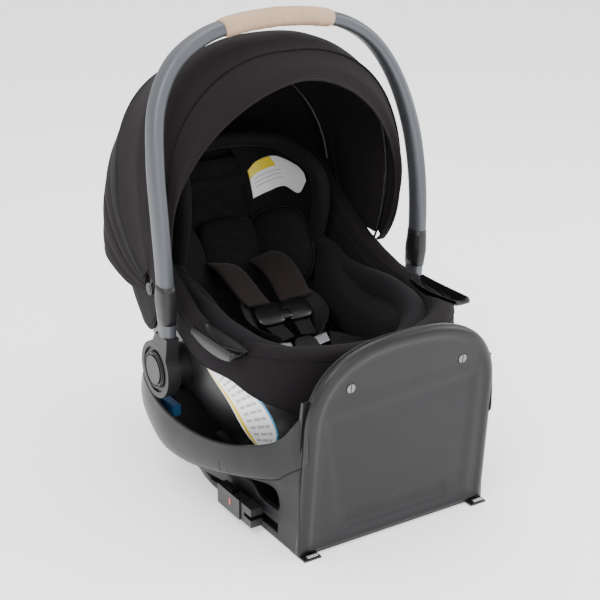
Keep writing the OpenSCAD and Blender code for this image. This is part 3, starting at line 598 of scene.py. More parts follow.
LIP = [(14.0, 1.5), (13.0, 0.4), (9.0, 0.0), (6.4, 0.5), (4.2, 1.5), (2.5, 3.0), (1.2, 5.2), (0.4, 7.6),
       (0.0, 10.0), (0.1, 12.5), (0.9, 15.0), (1.6, 17.0), (2.0, 20.0), (2.1, 24.0)]
panel_rings = [lean(*((o := panel_outline(d))[:, 0], np.full(len(o), y), o[:, 1])) for y, d in LIP]
for d in list(range(28, 92, 4)):
    o = panel_outline(d)
    panel_rings.append(lean(o[:, 0], 2.1 + face_depth(o[:, 0], o[:, 1]), o[:, 1]))
inner = panel_outline(88)
for k in np.linspace(0.92, 0.06, 16):
    o = (inner - [0, 150]) * k + [0, 150]
    panel_rings.append(lean(o[:, 0], 2.1 + face_depth(o[:, 0], o[:, 1]), o[:, 1]))
panel = loft("panel", panel_rings, None)
screw_cuts = []
for side in (-1, 1):
    ends = lean(np.array([side * 89.0] * 2), np.array([-4.0, 6.0]), np.array([238.0] * 2))
    screw_cuts.append(rod(f"screw_cut_{side}", ends[0], ends[1], 6.6, 48, up=(1, 0, 0)))
cut(panel, *screw_cuts)
dress(panel, "rim")
panel.data.materials.append(MAT["base"])
panel.data.materials.append(MAT["tray"])
for polygon in panel.data.polygons:
    x, y, z = polygon.center * 1000
    y += MID_Y
    flat = -y * math.sin(LEAN) + z * math.cos(LEAN)
    if y * math.cos(LEAN) + z * math.sin(LEAN) < 6 and abs(x) < 122 and flat < 230:
        polygon.material_index = 1 if face_depth(x, flat) < 1.9 else 2
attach(panel, "base")
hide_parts("panel_front")

paint_node("panel_back", "rim", 2.0)
paint_node("panel_screws", "steel_dark", 0.4)
paint_node("front_feet", "black", 0.8)
paint_node("foot_pins", "steel")
paint_node("sole_pads", "rubber", 0.5)
for side in ("left", "right"):
    paint_node(f"belt_liner_{side}", "black_gloss", 0.5)
    paint_node(f"belt_marker_{side}", "blue", 1.5)
    paint_node(f"anchor_body_{side}", "black", 1.2)
    paint_node(f"anchor_button_{side}", "black_gloss", 0.6)
paint_node("dock_tray", "base_dark", 1.0)
paint_node("dock_saddles", "black", 0.8)
paint_node("anchor_rails", "steel", 0.3)
for side, body in ((-1, "anchor_left"), (1, "anchor_right")):
    flag = box_solid(f"{body}_indicator", (side * 178, side * 178.35), (138, 141), (24, 34), body, 0.15)
    dress(flag, "red")

# ------------------------------------------------------------------ carrier shell and outer cover

WIDTH = [[20, 1], [190, 1], [300, 0.94], [545, 0.918]]
RIM = [[20, RIM_Z], [220, RIM_Z + 2], [300, RIM_Z + 28], [390, RIM_Z + 84], [470, HEAD_Z - 38],
       [545, HEAD_Z]]
BUCKET_MID = (SHELL_FRONT_Y + SHELL_REAR_Y) / 2
BUCKET_HALF = (SHELL_REAR_Y - SHELL_FRONT_Y) / 2


def bucket(angle, s, d, lift=0.0):
    """Point of the bucket: angle (degrees) runs round, s from the rim to the floor, d outwards."""
    angle, s, d, lift = np.broadcast_arrays(np.radians(angle), s, d, lift)
    e = 2 / (3.6 + 1.2 * np.sin(angle))
    cx, cy = power(np.cos(angle), e), power(np.sin(angle), e)
    y0 = BUCKET_MID + (BUCKET_HALF + d) * cy
    w0 = SHELL_HALF_W * smooth(WIDTH, y0) + d
    up = np.stack([w0 * cx, y0, smooth(RIM, y0) + lift], -1)
    mid = np.stack([w0 * cx, y0, 84 + 26 * np.maximum(cy, 0) - d], -1)
    low = np.stack([(86 + 0.4 * d) * cx, 232 + (88 + 0.4 * d) * cy, SHELL_LOW_Z - d], -1)
    s = s[..., None]
    return up * (1 - s) ** 2 + mid * 2 * s * (1 - s) + low * s * s


AROUND = np.arange(240) * 1.5
shell_steps = np.linspace(0, 1, 26)
shell = wall("carrier_bucket", [bucket(AROUND, s, 0) for s in shell_steps],
             [bucket(AROUND, s, -PLASTIC_T) for s in shell_steps], "carrier", loop=True, floor=True)
dress(shell, "shell")
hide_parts("carrier_shell")
foam = wall("foam_body", [bucket(AROUND, s, -3.9, -8) for s in shell_steps],
            [bucket(AROUND, s, -20.9, -8) for s in shell_steps], "carrier", loop=True, floor=True)
dress(foam, "lining")
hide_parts("foam_liner")

rim_angle_y = bucket(AROUND, 0, 0)[:, 1]
# Where the cover's outer and inner hems lie down the bucket, against y.
HEM_OUT = [[26, 0.30], [60, 0.26], [100, 0.19], [135, 0.13], [200, 0.12], [250, 0.1], [330, 0.14],
           [380, 0.3], [440, 0.42], [545, 0.46]]
HEM_IN = [[26, 0.1], [150, 0.1], [240, 0.14], [330, 0.3], [440, 0.36], [545, 0.3]]
hem_out, hem_in = smooth(HEM_OUT, rim_angle_y), smooth(HEM_IN, rim_angle_y)
SKIN = [(1.0, 2.6, 0), (0.97, 4.6, 0), (0.85, 5.6, 0), (0.65, 6.6, 0), (0.45, 7.0, 0), (0.28, 6.8, 0),
        (0.12, 6.2, 0), (0.02, 5.6, 1.5), (0, 4.8, 4), (0, 3.0, 7), (0, 0, 9.2), (0, -4, 10.4),
        (0, -10, 10.6), (0, -16, 9), (0, -21, 6), (-0.05, -24.5, 2), (-0.2, -27, -1), (-0.45, -28, -1),
        (-0.7, -28.5, 0), (-1.0, -28, 0)]
skin_fine = smooth([[i, list(row)] for i, row in enumerate(SKIN)], np.linspace(0, len(SKIN) - 1, 74))


def guide_dip(points):
    """Lowers the rim under the two belt guides."""
    x, y = np.abs(points[..., 0]), points[..., 1]
    along = 1 - np.minimum(np.abs((y - 152) / 56), 1) ** 2
    across = step(150, 164, x) * (1 - step(186, 198, x))
    return points - np.stack([0 * x, 0 * x, 17 * np.sqrt(np.maximum(along, 0)) * across], -1)


def cover_row(share, d, lift):
    s = np.where(share >= 0, hem_out * share, hem_in * -share)
    puff = 1 + 0.25 * step(380, 460, rim_angle_y) if d > 0 else 1.0
    p = bucket(AROUND, s, d * puff, lift)
    top = step(2, 9, lift)
    return p + (guide_dip(p) - p) * top


cover_out = np.array([cover_row(*row) for row in skin_fine])
wrinkle = ripple(cover_out, 70, 3) * 0.5 + ripple(cover_out, 24, 5) * 0.12


def normals(grid, loop=False):
    """Unit normals of a grid of points; loop: the columns run round."""
    along = np.gradient(grid, axis=0)
    if loop:
        around = np.roll(grid, -1, 1) - np.roll(grid, 1, 1)
    else:
        around = np.gradient(grid, axis=1)
    return unit(np.cross(around, along))


cover_n = normals(cover_out, True)
cover_in = cover_out + cover_n * 3.0
if np.mean(np.linalg.norm(cover_in[5, :, :2] - [0, 285], axis=-1)
           - np.linalg.norm(cover_out[5, :, :2] - [0, 285], axis=-1)) > 0:
    cover_n = -cover_n
cover_out = cover_out - cover_n * wrinkle[..., None]
cover_in = cover_out + cover_n * 3.0
cover = wall("outer_cover", cover_out, cover_in, "carrier", loop=True)
dress(cover, "outer_soft")
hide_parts("seat_cover")


def seam_loop(name, row, size=1.7):
    """Dark seam line laid along one row of the cover."""
    path = cover_out[row] - cover_n[row] * SEAM_SINK
    made = sweep(name, path, size, size, "carrier", (0, 0, 1), n=8, close=True)
    return dress(made, "lining")


SEAM_SINK = 0.1
seam_loop("rim_seam", 26)
seam_loop("hem_seam", 5, size=1.4)
seam_loop("inner_seam", 54, size=1.6)


# ------------------------------------------------------------------ padding inside the carrier


def soften(obj, puff=4.0, cap=7.0, voxel=5.0, hold=None):
    """Lets cloth over a padded shape swell and settle. hold(points) is 1 where it is sewn down."""
    m = modifier(obj, "REMESH", mode="VOXEL", voxel_size=voxel / 1000)
    m.use_smooth_shade = True
    bpy.context.view_layer.update()
    apply_all(obj)
    count = len(obj.data.vertices)
    rest = np.empty(count * 3)
    obj.data.vertices.foreach_get("co", rest)
    rest = rest.reshape(-1, 3)
    cloth = modifier(obj, "CLOTH").settings
    cloth.quality = 5
    cloth.use_pressure = True
    cloth.uniform_pressure_force = puff
    cloth.effector_weights.gravity = 0
    cloth.tension_stiffness = cloth.compression_stiffness = 18
    if hold:
        group = obj.vertex_groups.new(name="sewn")
        held = hold(rest * 1000 + [0, MID_Y, 0])
        for i in np.nonzero(held > 0.02)[0]:
            group.add([int(i)], float(held[i]), "REPLACE")
        cloth.vertex_group_mass = "sewn"
    for f in range(1, 21):
        bpy.context.scene.frame_set(f)
    apply_all(obj)
    bpy.context.scene.frame_set(1)
    moved = np.empty(count * 3)
    obj.data.vertices.foreach_get("co", moved)
    shift = moved.reshape(-1, 3) - rest
    size = np.linalg.norm(shift, axis=1, keepdims=True)
    shift *= np.minimum(1, cap / 1000 / np.maximum(size, 1e-9))
    obj.data.vertices.foreach_set("co", (rest + shift).ravel())
    modifier(obj, "SUBSURF", levels=1, render_levels=1)
    bpy.context.view_layer.update()
    return apply_all(obj)


def pillow_block(name, centre, u, v, w, a, b, c, e_edge=2.6, e_face=2.2, n=72, rows=30):
    """Rounded block: half sizes a, b, c along u, v, w; e_edge shapes its outline."""
    rings = []
    for lat in np.linspace(-math.pi / 2 + 0.04, math.pi / 2 - 0.04, rows):
        k = np.cos(lat) ** (2 / e_face)
        h = power(np.sin(lat), 2 / e_face) * c
        t = np.arange(n) * 2 * math.pi / n
        rings.append(np.asarray(centre) + np.outer(a * k * power(np.cos(t), 2 / e_edge), u)
                     + np.outer(b * k * power(np.sin(t), 2 / e_edge), v) + h * np.asarray(w))
    return loft(name, rings, None)


def frame_of(normal, up):
    w = unit(normal)
    v = unit(np.asarray(up, float) - w * np.dot(w, up))
    return np.cross(v, w), v, w


def soft_piece(obj, body, key, slot, fill, *nodes):
    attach(obj, body)
    dress(obj, key)
    if nodes:
        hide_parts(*nodes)
    return obj


SEAT_W = [[70, 92], [150, 124], [300, 134], [440, 122], [470, 104], [505, 84]]
SEAT_Z = [[70, 196], [100, 152], [150, 120], [200, 112], [250, 122], [300, 145], [350, 175], [400, 208],
          [440, 248], [470, 300], [492, 360], [505, 410]]
SEAT_DISH = [[70, 30], [400, 34], [505, 8]]


def seat_at(v, y, d):
    """Point of the surface the child lies on: v across (-1 to 1), y along, d above it."""
    v, y, d = np.broadcast_arrays(np.asarray(v, float), y, d)
    run = (smooth(SEAT_Z, y + 1) - smooth(SEAT_Z, y - 1)) / 2
    ty, tz = 1 / np.hypot(1, run), run / np.hypot(1, run)
    z = smooth(SEAT_Z, y) + smooth(SEAT_DISH, y) * np.abs(v) ** 2.6
    return np.stack([smooth(SEAT_W, y) * v, y - tz * d, z + ty * d], -1)


# Lining of the bucket, from under the cover's inner hem down to the seat
line_s = np.linspace(0.02, 0.96, 40)
line_out = np.array([bucket(AROUND, s, -27 - 5 * math.sin(math.pi * s)) for s in line_s])
line_out -= normals(line_out, True) * (ripple(line_out, 60, 11) * 1.0)[..., None]
line_back = np.array([bucket(AROUND, s, -22) for s in line_s])
lining = wall("bucket_lining", line_out, line_back, "carrier", loop=True)
dress(lining, "jersey")

# Raised padded border of the insert, all round inside the rim
border_y = bucket(AROUND, 0, -40)[:, 1]
border_drop = smooth([[40, 42], [120, 24], [200, 14], [250, 20], [330, 50], [440, 74], [520, 60]], border_y)
border_wide = smooth([[40, 19], [150, 20], [300, 15], [540, 12]], border_y)
border_tall = smooth([[40, 19], [160, 22], [240, 24]], border_y)
border_rings = []
for i, angle in enumerate(AROUND):
    centre = bucket(angle, 0.0, -44, -border_drop[i])
    rim_point = bucket(angle, 0.0, -20, -border_drop[i])
    out_dir = unit(rim_point - centre)
    up_dir = unit(np.cross(np.cross(out_dir, [0, 0, 1]), out_dir))
    border_rings.append(ring(centre, out_dir, up_dir, border_wide[i], border_tall[i], 2.3, 28))
border_rings = np.array(border_rings)
border_rings += normals(border_rings, True) * (ripple(border_rings, 45, 21) * 0.7)[..., None]
border = loft("insert_border", border_rings, "carrier", close=True)
dress(border, "knit_fine")

# Quilted pad under the child
pad_y, pad_v = np.linspace(72, 503, 150), np.linspace(-1, 1, 90)
pad_grid = np.array([seat_at(pad_v, y, 0) for y in pad_y])
quilt = np.minimum(1, np.abs(np.abs(pad_v)[None, :] - 0.46) / 0.07) * np.ones((len(pad_y), 1))
for seam_y in (160, 236, 322):
    quilt *= np.minimum(1, np.abs(pad_y - seam_y) / 7)[:, None]
rise = 4.5 * np.sqrt(quilt) + ripple(pad_grid, 40, 31) * 0.8
pad_top = np.array([seat_at(pad_v, y, rise[i]) for i, y in enumerate(pad_y)])
pad_under = np.array([seat_at(pad_v * 0.97, y, -smooth([[72, 9], [150, 16], [300, 24], [505, 12]], y))
                      for y in pad_y])
pad = wall("seat_cushion", pad_top, pad_under, "carrier")
dress(pad, "knit")
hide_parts("seat_pad")

# Headrest: a trough round the head with a smooth border
HEAD_RIM = [[0, [112, 404, 222]], [1, [120, 380, 290]], [2, [119, 362, 355]], [3, [112, 372, 402]],
            [4, [84, 424, 434]], [5, [44, 456, 440]], [6, [0, 464, 441]]]
rim_t = np.linspace(0, 6, 60)
head_half = smooth(HEAD_RIM, rim_t)
head_rim = np.concatenate([head_half * [-1, 1, 1], head_half[-2::-1]])
head_level = head_rim[:, 2]
BACK_Y = [[215, 424], [248, 444], [300, 474], [360, 494], [410, 508], [460, 516]]
back_line = np.stack([head_rim[:, 0] * 0.42, smooth(BACK_Y, head_level * 0.94 + 6) - 6,
                      head_level * 0.94 + 6], 1)
back_line[:, 1] -= 3
corner = np.stack([head_rim[:, 0] * 0.97, back_line[:, 1] - 14, head_level * 0.98], 1)


def trough(u, v, d=0.0):
    """Point inside the headrest: u (0 to 1) runs along its rim, v from the rim to the back."""
    at = np.asarray(u, float) * (len(head_rim) - 1)
    table = np.arange(len(head_rim))
    h, c, b = (np.stack([np.interp(at, table, line[:, k]) for k in range(3)], -1)
               for line in (head_rim, corner, back_line))
    v = np.asarray(v, float)[..., None]
    p = h * (1 - v) ** 2 + 2 * c * v * (1 - v) + b * v * v
    inward = unit(np.array([0, 395, 335]) - p)
    return p + inward * np.asarray(d)[..., None]


tu, tv = np.meshgrid(np.linspace(0, 1, 119), np.linspace(0, 1, 44))
trough_top = trough(tu, tv)
trough_top += unit(np.array([0, 395, 335]) - trough_top) * (ripple(trough_top, 50, 41) * 0.9)[..., None]
trough_back = trough(tu, tv, -7 + 0 * tu)
head_shell = wall("headrest", trough_top, trough_back, "carrier")
dress(head_shell, "knit")
roll = []
for i in range(len(head_rim)):
    t = unit(head_rim[min(i + 1, len(head_rim) - 1)] - head_rim[max(i - 1, 0)])
    back = unit(corner[i] - head_rim[i])
    side = unit(np.cross(t, back))
    fade = min(1, 0.35 + 0.13 * min(i, len(head_rim) - 1 - i))
    roll.append(ring(head_rim[i] + back * 7, side, back, 11 * fade, 16 * fade, 2.3, 24))
head_roll = loft("headrest_border", roll, "carrier")
dress(head_roll, "jersey")

# Head pillow: a middle panel and a piped round wing on each side
SLOPE = unit([0, 0.40, 0.92])
u, v, w = frame_of([0, -0.92, 0.40], SLOPE)
middle = pillow_block("pillow_middle", (-2, 436, 268), u, v, w, 49, 56, 15, 5, 2.4)
soften(middle, 5, 6, hold=lambda p: (np.abs(np.abs(p[:, 0] + 2) - 49) < 3) * 0.6)
soft_piece(middle, "carrier", "knit", "knit_fabric", 0.7, "head_pillow")
for side, word in ((-1, "left"), (1, "right")):
    u, v, w = frame_of([-side * 0.72, -0.60, 0.34], SLOPE)
    centre = np.array([side * 78, 420, 268])
    wing = pillow_block(f"pillow_wing_{word}", centre, u, v, w, 52, 63, 17, 2.5, 2.3)
    soften(wing, 5, 6)
    soft_piece(wing, "carrier", "knit", "knit_fabric", 0.8)
    t = np.linspace(0, 2 * math.pi, 97)[:-1]
    edge = (centre + np.outer(53.5 * power(np.cos(t), 0.8), u) + np.outer(64.5 * power(np.sin(t), 0.8), v)
            + w * 5)
    cord = sweep(f"pillow_piping_{word}", edge, 3.0, 3.0, "carrier", w, n=10, close=True)
    dress(cord, "piping")

# Hip bolsters: puffed pads that follow the bucket's side
for side, word in ((-1, "left"), (1, "right")):
    rings = []
    for r in list(np.linspace(0.04, 0.9, 12)) + [0.95, 0.985, 1.0, 1.0, 0.985, 0.94] + \
            list(np.linspace(0.85, 0.04, 6)):
        t = np.arange(80) * 2 * math.pi / 80
        a_mid, a_half = -14, 32
        angle = a_mid + a_half * r * power(np.cos(t), 2 / 3.0)
        s = 0.29 + 0.25 * r * power(np.sin(t), 2 / 2.6) + 0.04 * r * np.cos(t)
        front = len(rings) < 15
        dome = (1 - min(r, 0.999) ** 2.6) ** 0.5
        d = -34 - (42 * dome if front else -2 * dome)
        points = bucket(angle, np.clip(s, 0.03, 1), d)
        rings.append(points * [side, 1, 1])
    bolster = loft(f"hip_bolster_{word}", rings, None)
    soften(bolster, 5, 7)
    soft_piece(bolster, "carrier", "knit", "knit_fabric", 0.8, f"bolster_{word}")

# ------------------------------------------------------------------ harness


def spline(points, n):
    """Smooth path of n points through the given ones."""
    return smooth([[i, list(p)] for i, p in enumerate(points)], np.linspace(0, len(points) - 1, n))


def strap_piece(name, points, width, thick, across, key, slot, body="carrier", n=60, *nodes):
    obj = sweep(name, spline(points, n), width, thick, body, across, e=5, n=20)
    dress(obj, key)
    if nodes:
        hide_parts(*nodes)
    return obj


for side, word in ((-1, "left"), (1, "right")):
    m = [side, 1, 1]
    shoulder = [np.array(p) * m for p in ([36, 437, 262], [36, 420, 262], [37, 396, 262], [37, 370, 256],
                                          [35, 340, 244], [32, 316, 230], [29, 300, 222], [26, 286, 214],
                                          [22, 266, 205], [18, 244, 197])]
    made = strap_piece(f"shoulder_strap_{word}", shoulder, np.linspace(37, 25, 90), 1.8,
                       (1, side * 0.08, 0), "webbing", "webbing", "carrier", 90)
    if side < 0:
        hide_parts("shoulder_straps")
    sleeve = [np.array(p) * m for p in ([37, 412, 264], [38, 390, 266], [38, 366, 262], [37, 340, 251],
                                        [34, 318, 239], [31, 302, 233])]
    path = spline(sleeve, 50)
    swell_at = np.sin(np.linspace(0.35, math.pi - 0.35, 50)) ** 0.5
    pad_made = sweep(f"strap_sleeve_{word}", path, 50 * (0.9 + 0.1 * swell_at), 11 * swell_at, "carrier",
                     (1, -side * 0.15, side * 0.22), e=2.6, n=28)
    dress(pad_made, "strap")
    if side < 0:
        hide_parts("strap_covers")
    hip = [np.array(p) * m for p in ([112, 214, 170], [98, 214, 172], [80, 220, 177], [62, 226, 184],
                                     [46, 230, 188])]
    made = strap_piece(f"hip_strap_{word}", hip, 27, 1.8, (0, 0.8, 0.6), "webbing", "webbing")
    if side < 0:
        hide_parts("hip_straps")
    loop = [np.array(p) * m for p in ([40, 318, 232], [52, 300, 226], [56, 276, 214], [46, 254, 200],
                                      [34, 238, 194])]
    strap_piece(f"lap_strap_{word}", loop, 30, 1.8, (0.55, 0.35, 0.75) if side > 0 else (0.55, -0.35, -0.75),
                "webbing", "webbing")
made = strap_piece("crotch_strap_web", [(0, 184, 112), (0, 187, 128), (0, 196, 150)], 34, 2.2, (1, 0, 0),
                   "webbing", "webbing")
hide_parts("crotch_strap")
made = strap_piece("adjuster_tail", [(0, 108, 162), (0, 98, 174), (0, 90, 192), (0, 84, 214), (1, 80, 226)],
                   25, 1.8, (1, 0, 0), "webbing", "webbing")
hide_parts("adjuster_strap")

# Chest clip: two glossy halves with a latch between them
u, v, w = frame_of([0, -0.53, 0.85], [0, 0.85, 0.53])
clip_at = np.array([0, 288.5, 219.5])
first = None
for side in (-1, 1):
    half = pillow_block(f"chest_clip_{'left' if side < 0 else 'right'}", clip_at + u * 23 * side,
                        u, v, w, 24, 20, 7, 3.4, 3.2, 64, 24)
    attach(half, "carrier")
    dress(half, "black_gloss")
    first = first or half
latch = pillow_block("chest_clip_latch", clip_at - v * 6 + w * 1.6, u, v, w, 12, 9.5, 6.2, 4, 3.2, 48, 20)
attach(latch, "carrier")
dress(latch, "black_gloss")
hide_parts("chest_clip")
paint_node("buckle_housing", "black_gloss", 2.5)
paint_node("buckle_button", "red", 1.2)
paint_node("buckle_tongues", "steel_dark", 0.6)
paint_node("adjuster_housing", "black", 1.2)
paint_node("adjuster_button", "black_gloss", 0.8)

# Belt guides: cups let into the rim, with a raised outer lip
for side, word in ((-1, "left"), (1, "right")):
    rings = []
    for t in np.linspace(-0.985, 0.985, 56):
        k = math.sqrt(1 - t * t)
        thin = 1 - k
        y = GUIDE_Y + GUIDE_HALF * t
        top = float(smooth(RIM, y)) + 9
        section = [(162 + thin * 9, top - 1.5), (164 + thin * 8, top - 1.0), (166 + thin * 7, top - 3),
                   (172 + thin * 4, top - 2 - 13 * k), (181, top - 3 - 13 * k), (187.5, top - 2 - 4 * k),
                   (190, top + 0.5 * k), (192, top + 1.2 * k), (194, top - 0.4 * k - 1),
                   (196.2, top - 6), (196.6, top - 6 - 9 * k), (195.4, top - 7 - 12 * k),
                   (192.4, top - 7 - 12 * k), (184, top - 7 - 14 * k), (174, top - 6 - 14 * k),
                   (164 + thin * 8, top - 6)]
        rings.append([[side * x, y, z] for x, z in section])
    rings = np.array(rings)
    cup = loft(f"belt_guide_cup_{word}", rings, None)
    modifier(cup, "SUBSURF", levels=1, render_levels=1)
    bpy.context.view_layer.update()
    apply_all(cup)
    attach(cup, "carrier")
    dress(cup, "black_gloss")
    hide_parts(f"belt_guide_{word}")

# ------------------------------------------------------------------ labels, without lettering

plate_a, plate_s = np.meshgrid(np.linspace(-75, 75, 600), np.linspace(0, 0.9, 300))
plate = bucket(plate_a, plate_s, 0)


def on_side(y, z, d):
    """Point of the shell's right side at height z and distance y, d outside it."""
    flat = plate.reshape(-1, 3)
    out = []
    for yy, zz in zip(np.ravel(y), np.ravel(z)):
        near = np.argpartition((flat[:, 1] - yy) ** 2 + (flat[:, 2] - zz) ** 2, 12)[:12]
        fit = np.column_stack([flat[near, 1], flat[near, 2], np.ones(12)])
        slope, *_ = np.linalg.lstsq(fit, flat[near, 0], rcond=None)
        normal = unit([1, -slope[0], -slope[1]])
        out.append(np.array([slope @ [yy, zz, 1], yy, zz]) + normal * d)
    return np.array(out).reshape(np.shape(y) + (3,))


def film(name, outer, thick_to, body, bands):
    """Thin film between two grids; bands gives each face's finish from its row and column."""
    outer, back = np.asarray(outer), np.asarray(thick_to)
    obj = wall(name, outer, back, body)
    keys = ["label", "label_yellow", "label_blue", "label_grey"]
    for key in keys:
        obj.data.materials.append(MAT[key])
    rows, cols = outer.shape[0] - 1, outer.shape[1] - 1
    for i in range(rows * cols):
        obj.data.polygons[i].material_index = bands((i // cols + 0.5) / rows, (i % cols + 0.5) / cols)
    return obj


def side_bands(row, col):
    if 0.04 < col < 0.17:
        return 1
    if col > 0.95:
        return 2
    block = 0.3 < col < 0.84 and 0.22 < row < 0.93
    if block and (row * 15) % 1 > 0.62 and (col * 4.2) % 1 > 0.2:
        return 3
    return 0


lab_r, lab_c = np.meshgrid(np.linspace(0, 1, 76), np.linspace(0, 1, 41), indexing="ij")
EDGE_LEFT = [[0, [186, 217]], [0.5, [146, 172]], [1, [134, 107]]]
EDGE_RIGHT = [[0, [186, 219]], [0.2, [150, 220]], [0.45, [112, 207]], [0.65, [93, 180]], [0.85, [92, 140]],
              [1, [110, 108]]]
edge_left, edge_right = smooth(EDGE_LEFT, lab_r), smooth(EDGE_RIGHT, lab_r)
lab_yz = edge_left + (edge_right - edge_left) * (0.02 + 0.98 * lab_c)[..., None]
for side, word in ((-1, "left"), (1, "right")):
    outer = on_side(lab_yz[..., 0], lab_yz[..., 1], 1.0) * [side, 1, 1]
    back = on_side(lab_yz[..., 0], lab_yz[..., 1], 0.2) * [side, 1, 1]
    sticker = film(f"shell_label_{word}", outer, back, "carrier", side_bands)
    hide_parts(f"side_label_{word}")


def head_bands(row, col):
    if row < 0.34 and col < 0.55:
        return 1
    if 0.42 < row < 0.86 and 0.08 < col < 0.6 and (row * 16) % 1 > 0.6:
        return 3
    return 0


head_r, head_c = np.meshgrid(np.linspace(0, 1, 41), np.linspace(0, 1, 51), indexing="ij")
patch_low = smooth([[0, 0.76], [0.2, 0.735], [0.65, 0.72], [0.95, 0.75], [1, 0.77]], head_c)
patch_high = smooth([[0, 0.838], [0.3, 0.825], [0.6, 0.813], [0.85, 0.828], [1, 0.795]], head_c)
patch_u = patch_low + (patch_high - patch_low) * head_r
patch_v = 0.91 - 0.715 * head_c
head_film = film("headrest_label", trough(patch_u, patch_v, 2.6 + 0 * patch_u),
                 trough(patch_u, patch_v, 1.4 + 0 * patch_u), "carrier", head_bands)
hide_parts("head_label")

tag_r, tag_c = np.meshgrid(np.linspace(0, 1, 20), np.linspace(0, 1, 20), indexing="ij")
tag_y = 342 + 46 * tag_c
tag_z = 214 + 46 * tag_r * (1 - 0.35 * tag_c) + 8 * tag_c
film("shell_tag", on_side(tag_y, tag_z, 1.0) * [-1, 1, 1], on_side(tag_y, tag_z, 0.2) * [-1, 1, 1],
                "carrier", lambda row, col: 3 if (row * 9) % 1 < 0.45 and (col * 9) % 1 < 0.45 else 0)

# ------------------------------------------------------------------ carrier fittings kept from the CAD

paint_node("hub_mounts", "black", 1.5)
paint_node("pivot_pins", "steel", 0.5)
paint_node("canopy_mounts", "black", 0.6)
paint_node("carrier_bars", "steel", 0.6)
paint_node("release_housing", "black", 1.5)
paint_node("release_lever", "hub", 1.2)

# ------------------------------------------------------------------ handle

LEG = [[0, [208, 251, 238]], [1, [211, 247, 325]], [2, [212, 253, 405]], [3, [208, 268, 480]],
       [4, [193, 288, 548]], [5, [161, 300, 600]], [6, [112, 302, 632]], [7, [56, 301, 645]],
       [8, [0, 300, 649]]]
leg = smooth(LEG, np.linspace(0, 8, 90))
hoop = np.concatenate([leg * [-1, 1, 1], leg[-2::-1]])
hoop_t = tangents(hoop)


def hoop_ring(i, grow, n=40, e=2.8):
    wide = unit(np.array([0, 1, 0]) - hoop_t[i] * hoop_t[i][1])
    return ring(hoop[i], wide, np.cross(hoop_t[i], wide), TUBE_W / 2 + grow, TUBE_T / 2 + grow, e, n)


tube = loft("handle_bar", [hoop_ring(i, 0) for i in range(len(hoop))], "handle")
dress(tube, "tube")
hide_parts("handle_tube")
grip_i = [i for i in range(len(hoop)) if abs(hoop[i][0]) <= GRIP_HALF + 7]
grip_rings = []
for k, i in enumerate(grip_i):
    end = min(k, len(grip_i) - 1 - k)
    grow = 2.9 - 1.9 * math.exp(-end * 1.6) + 0.22 * math.sin(hoop[i][0] * 0.33)
    grip_rings.append(hoop_ring(i, grow, 48, 2.5))
grip = loft("leather_grip", grip_rings, "handle")
dress(grip, "leather")
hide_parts("handle_grip")
stitch_points, stitch_faces = [], []
for x in np.arange(-GRIP_HALF, GRIP_HALF + 1, 5.2):
    i = int(np.argmin(np.abs(hoop[:, 0] - x) + 900 * (hoop[:, 2] < 500)))
    wide = unit(np.array([0, 1, 0]) - hoop_t[i] * hoop_t[i][1])
    under = np.cross(hoop_t[i], wide)
    under = under if under[2] < 0 else -under
    for turn in (0.95, 1.25):
        where = hoop[i] - wide * (TUBE_W / 2 + 2.4) * math.cos(turn) * 1.03 \
            + under * (TUBE_T / 2 + 2.7) * math.sin(turn) ** 0.8
        path = np.array([where - hoop_t[i] * 1.6, where, where + hoop_t[i] * 1.6])
        rings = [ring(p, wide, under, 0.7, 0.7, 2, 6) for p in path]
        base_i = len(stitch_points)
        stitch_points += [q for r in rings for q in r]
        stitch_faces += grid_faces(3, 6, True, base_i)
stitches = add_mesh("grip_stitches", stitch_points, stitch_faces, "handle")
dress(stitches, "thread")

for side, word in ((-1, "left"), (1, "right")):
    paint_node(f"hub_{word}", "hub", 2.4)
    paint_node(f"handle_button_{word}", "black_gloss", 1.0)
    dial_t = np.linspace(0, 2 * math.pi, 97)[:-1]
    dial = np.stack([np.full(96, side * (HUB_OUT_X - 0.9)), HUB_Y + 25.2 * np.cos(dial_t),
                     HUB_Z + 25.2 * np.sin(dial_t)], 1)
    dial_ring = sweep(f"hub_ring_{word}", dial, 2.0, 2.0, "handle", (1, 0, 0), n=10, close=True)
    dress(dial_ring, "rim")
    collar_i = 7 if side < 0 else len(hoop) - 8
    collar = loft(f"handle_collar_{word}", [hoop_ring(j, 2.4 - 0.5 * abs(j - collar_i)) for j in
                                           range(collar_i - 4, collar_i + 4)], "handle")
    dress(collar, "hub")

# ------------------------------------------------------------------ canopy

HOOP_R0 = 120


def bow(w, top_r, e, tilt, n=160, foot_r=26):
    """Points of a hoop from the left foot to the right one; tilt gives its angle at each radius."""
    u = np.linspace(0, 1, n)
    v = 2 * np.abs(u - 0.5)
    c, s = np.cos(v / 0.6 * math.pi / 2), np.sin(v / 0.6 * math.pi / 2)
    r = np.where(v > 0.6, foot_r + (HOOP_R0 - foot_r) * (1 - v) / 0.4,
                 HOOP_R0 + (top_r - HOOP_R0) * np.maximum(c, 0) ** (2 / e))
    x = np.where(v > 0.6, w, w * np.minimum(s, 1) ** (2 / e))
    a = np.radians(smooth(tilt, r))
    return np.stack([np.sign(u - 0.5) * x, PIVOT_Y + r * np.cos(a), PIVOT_Z + r * np.sin(a)], 1)


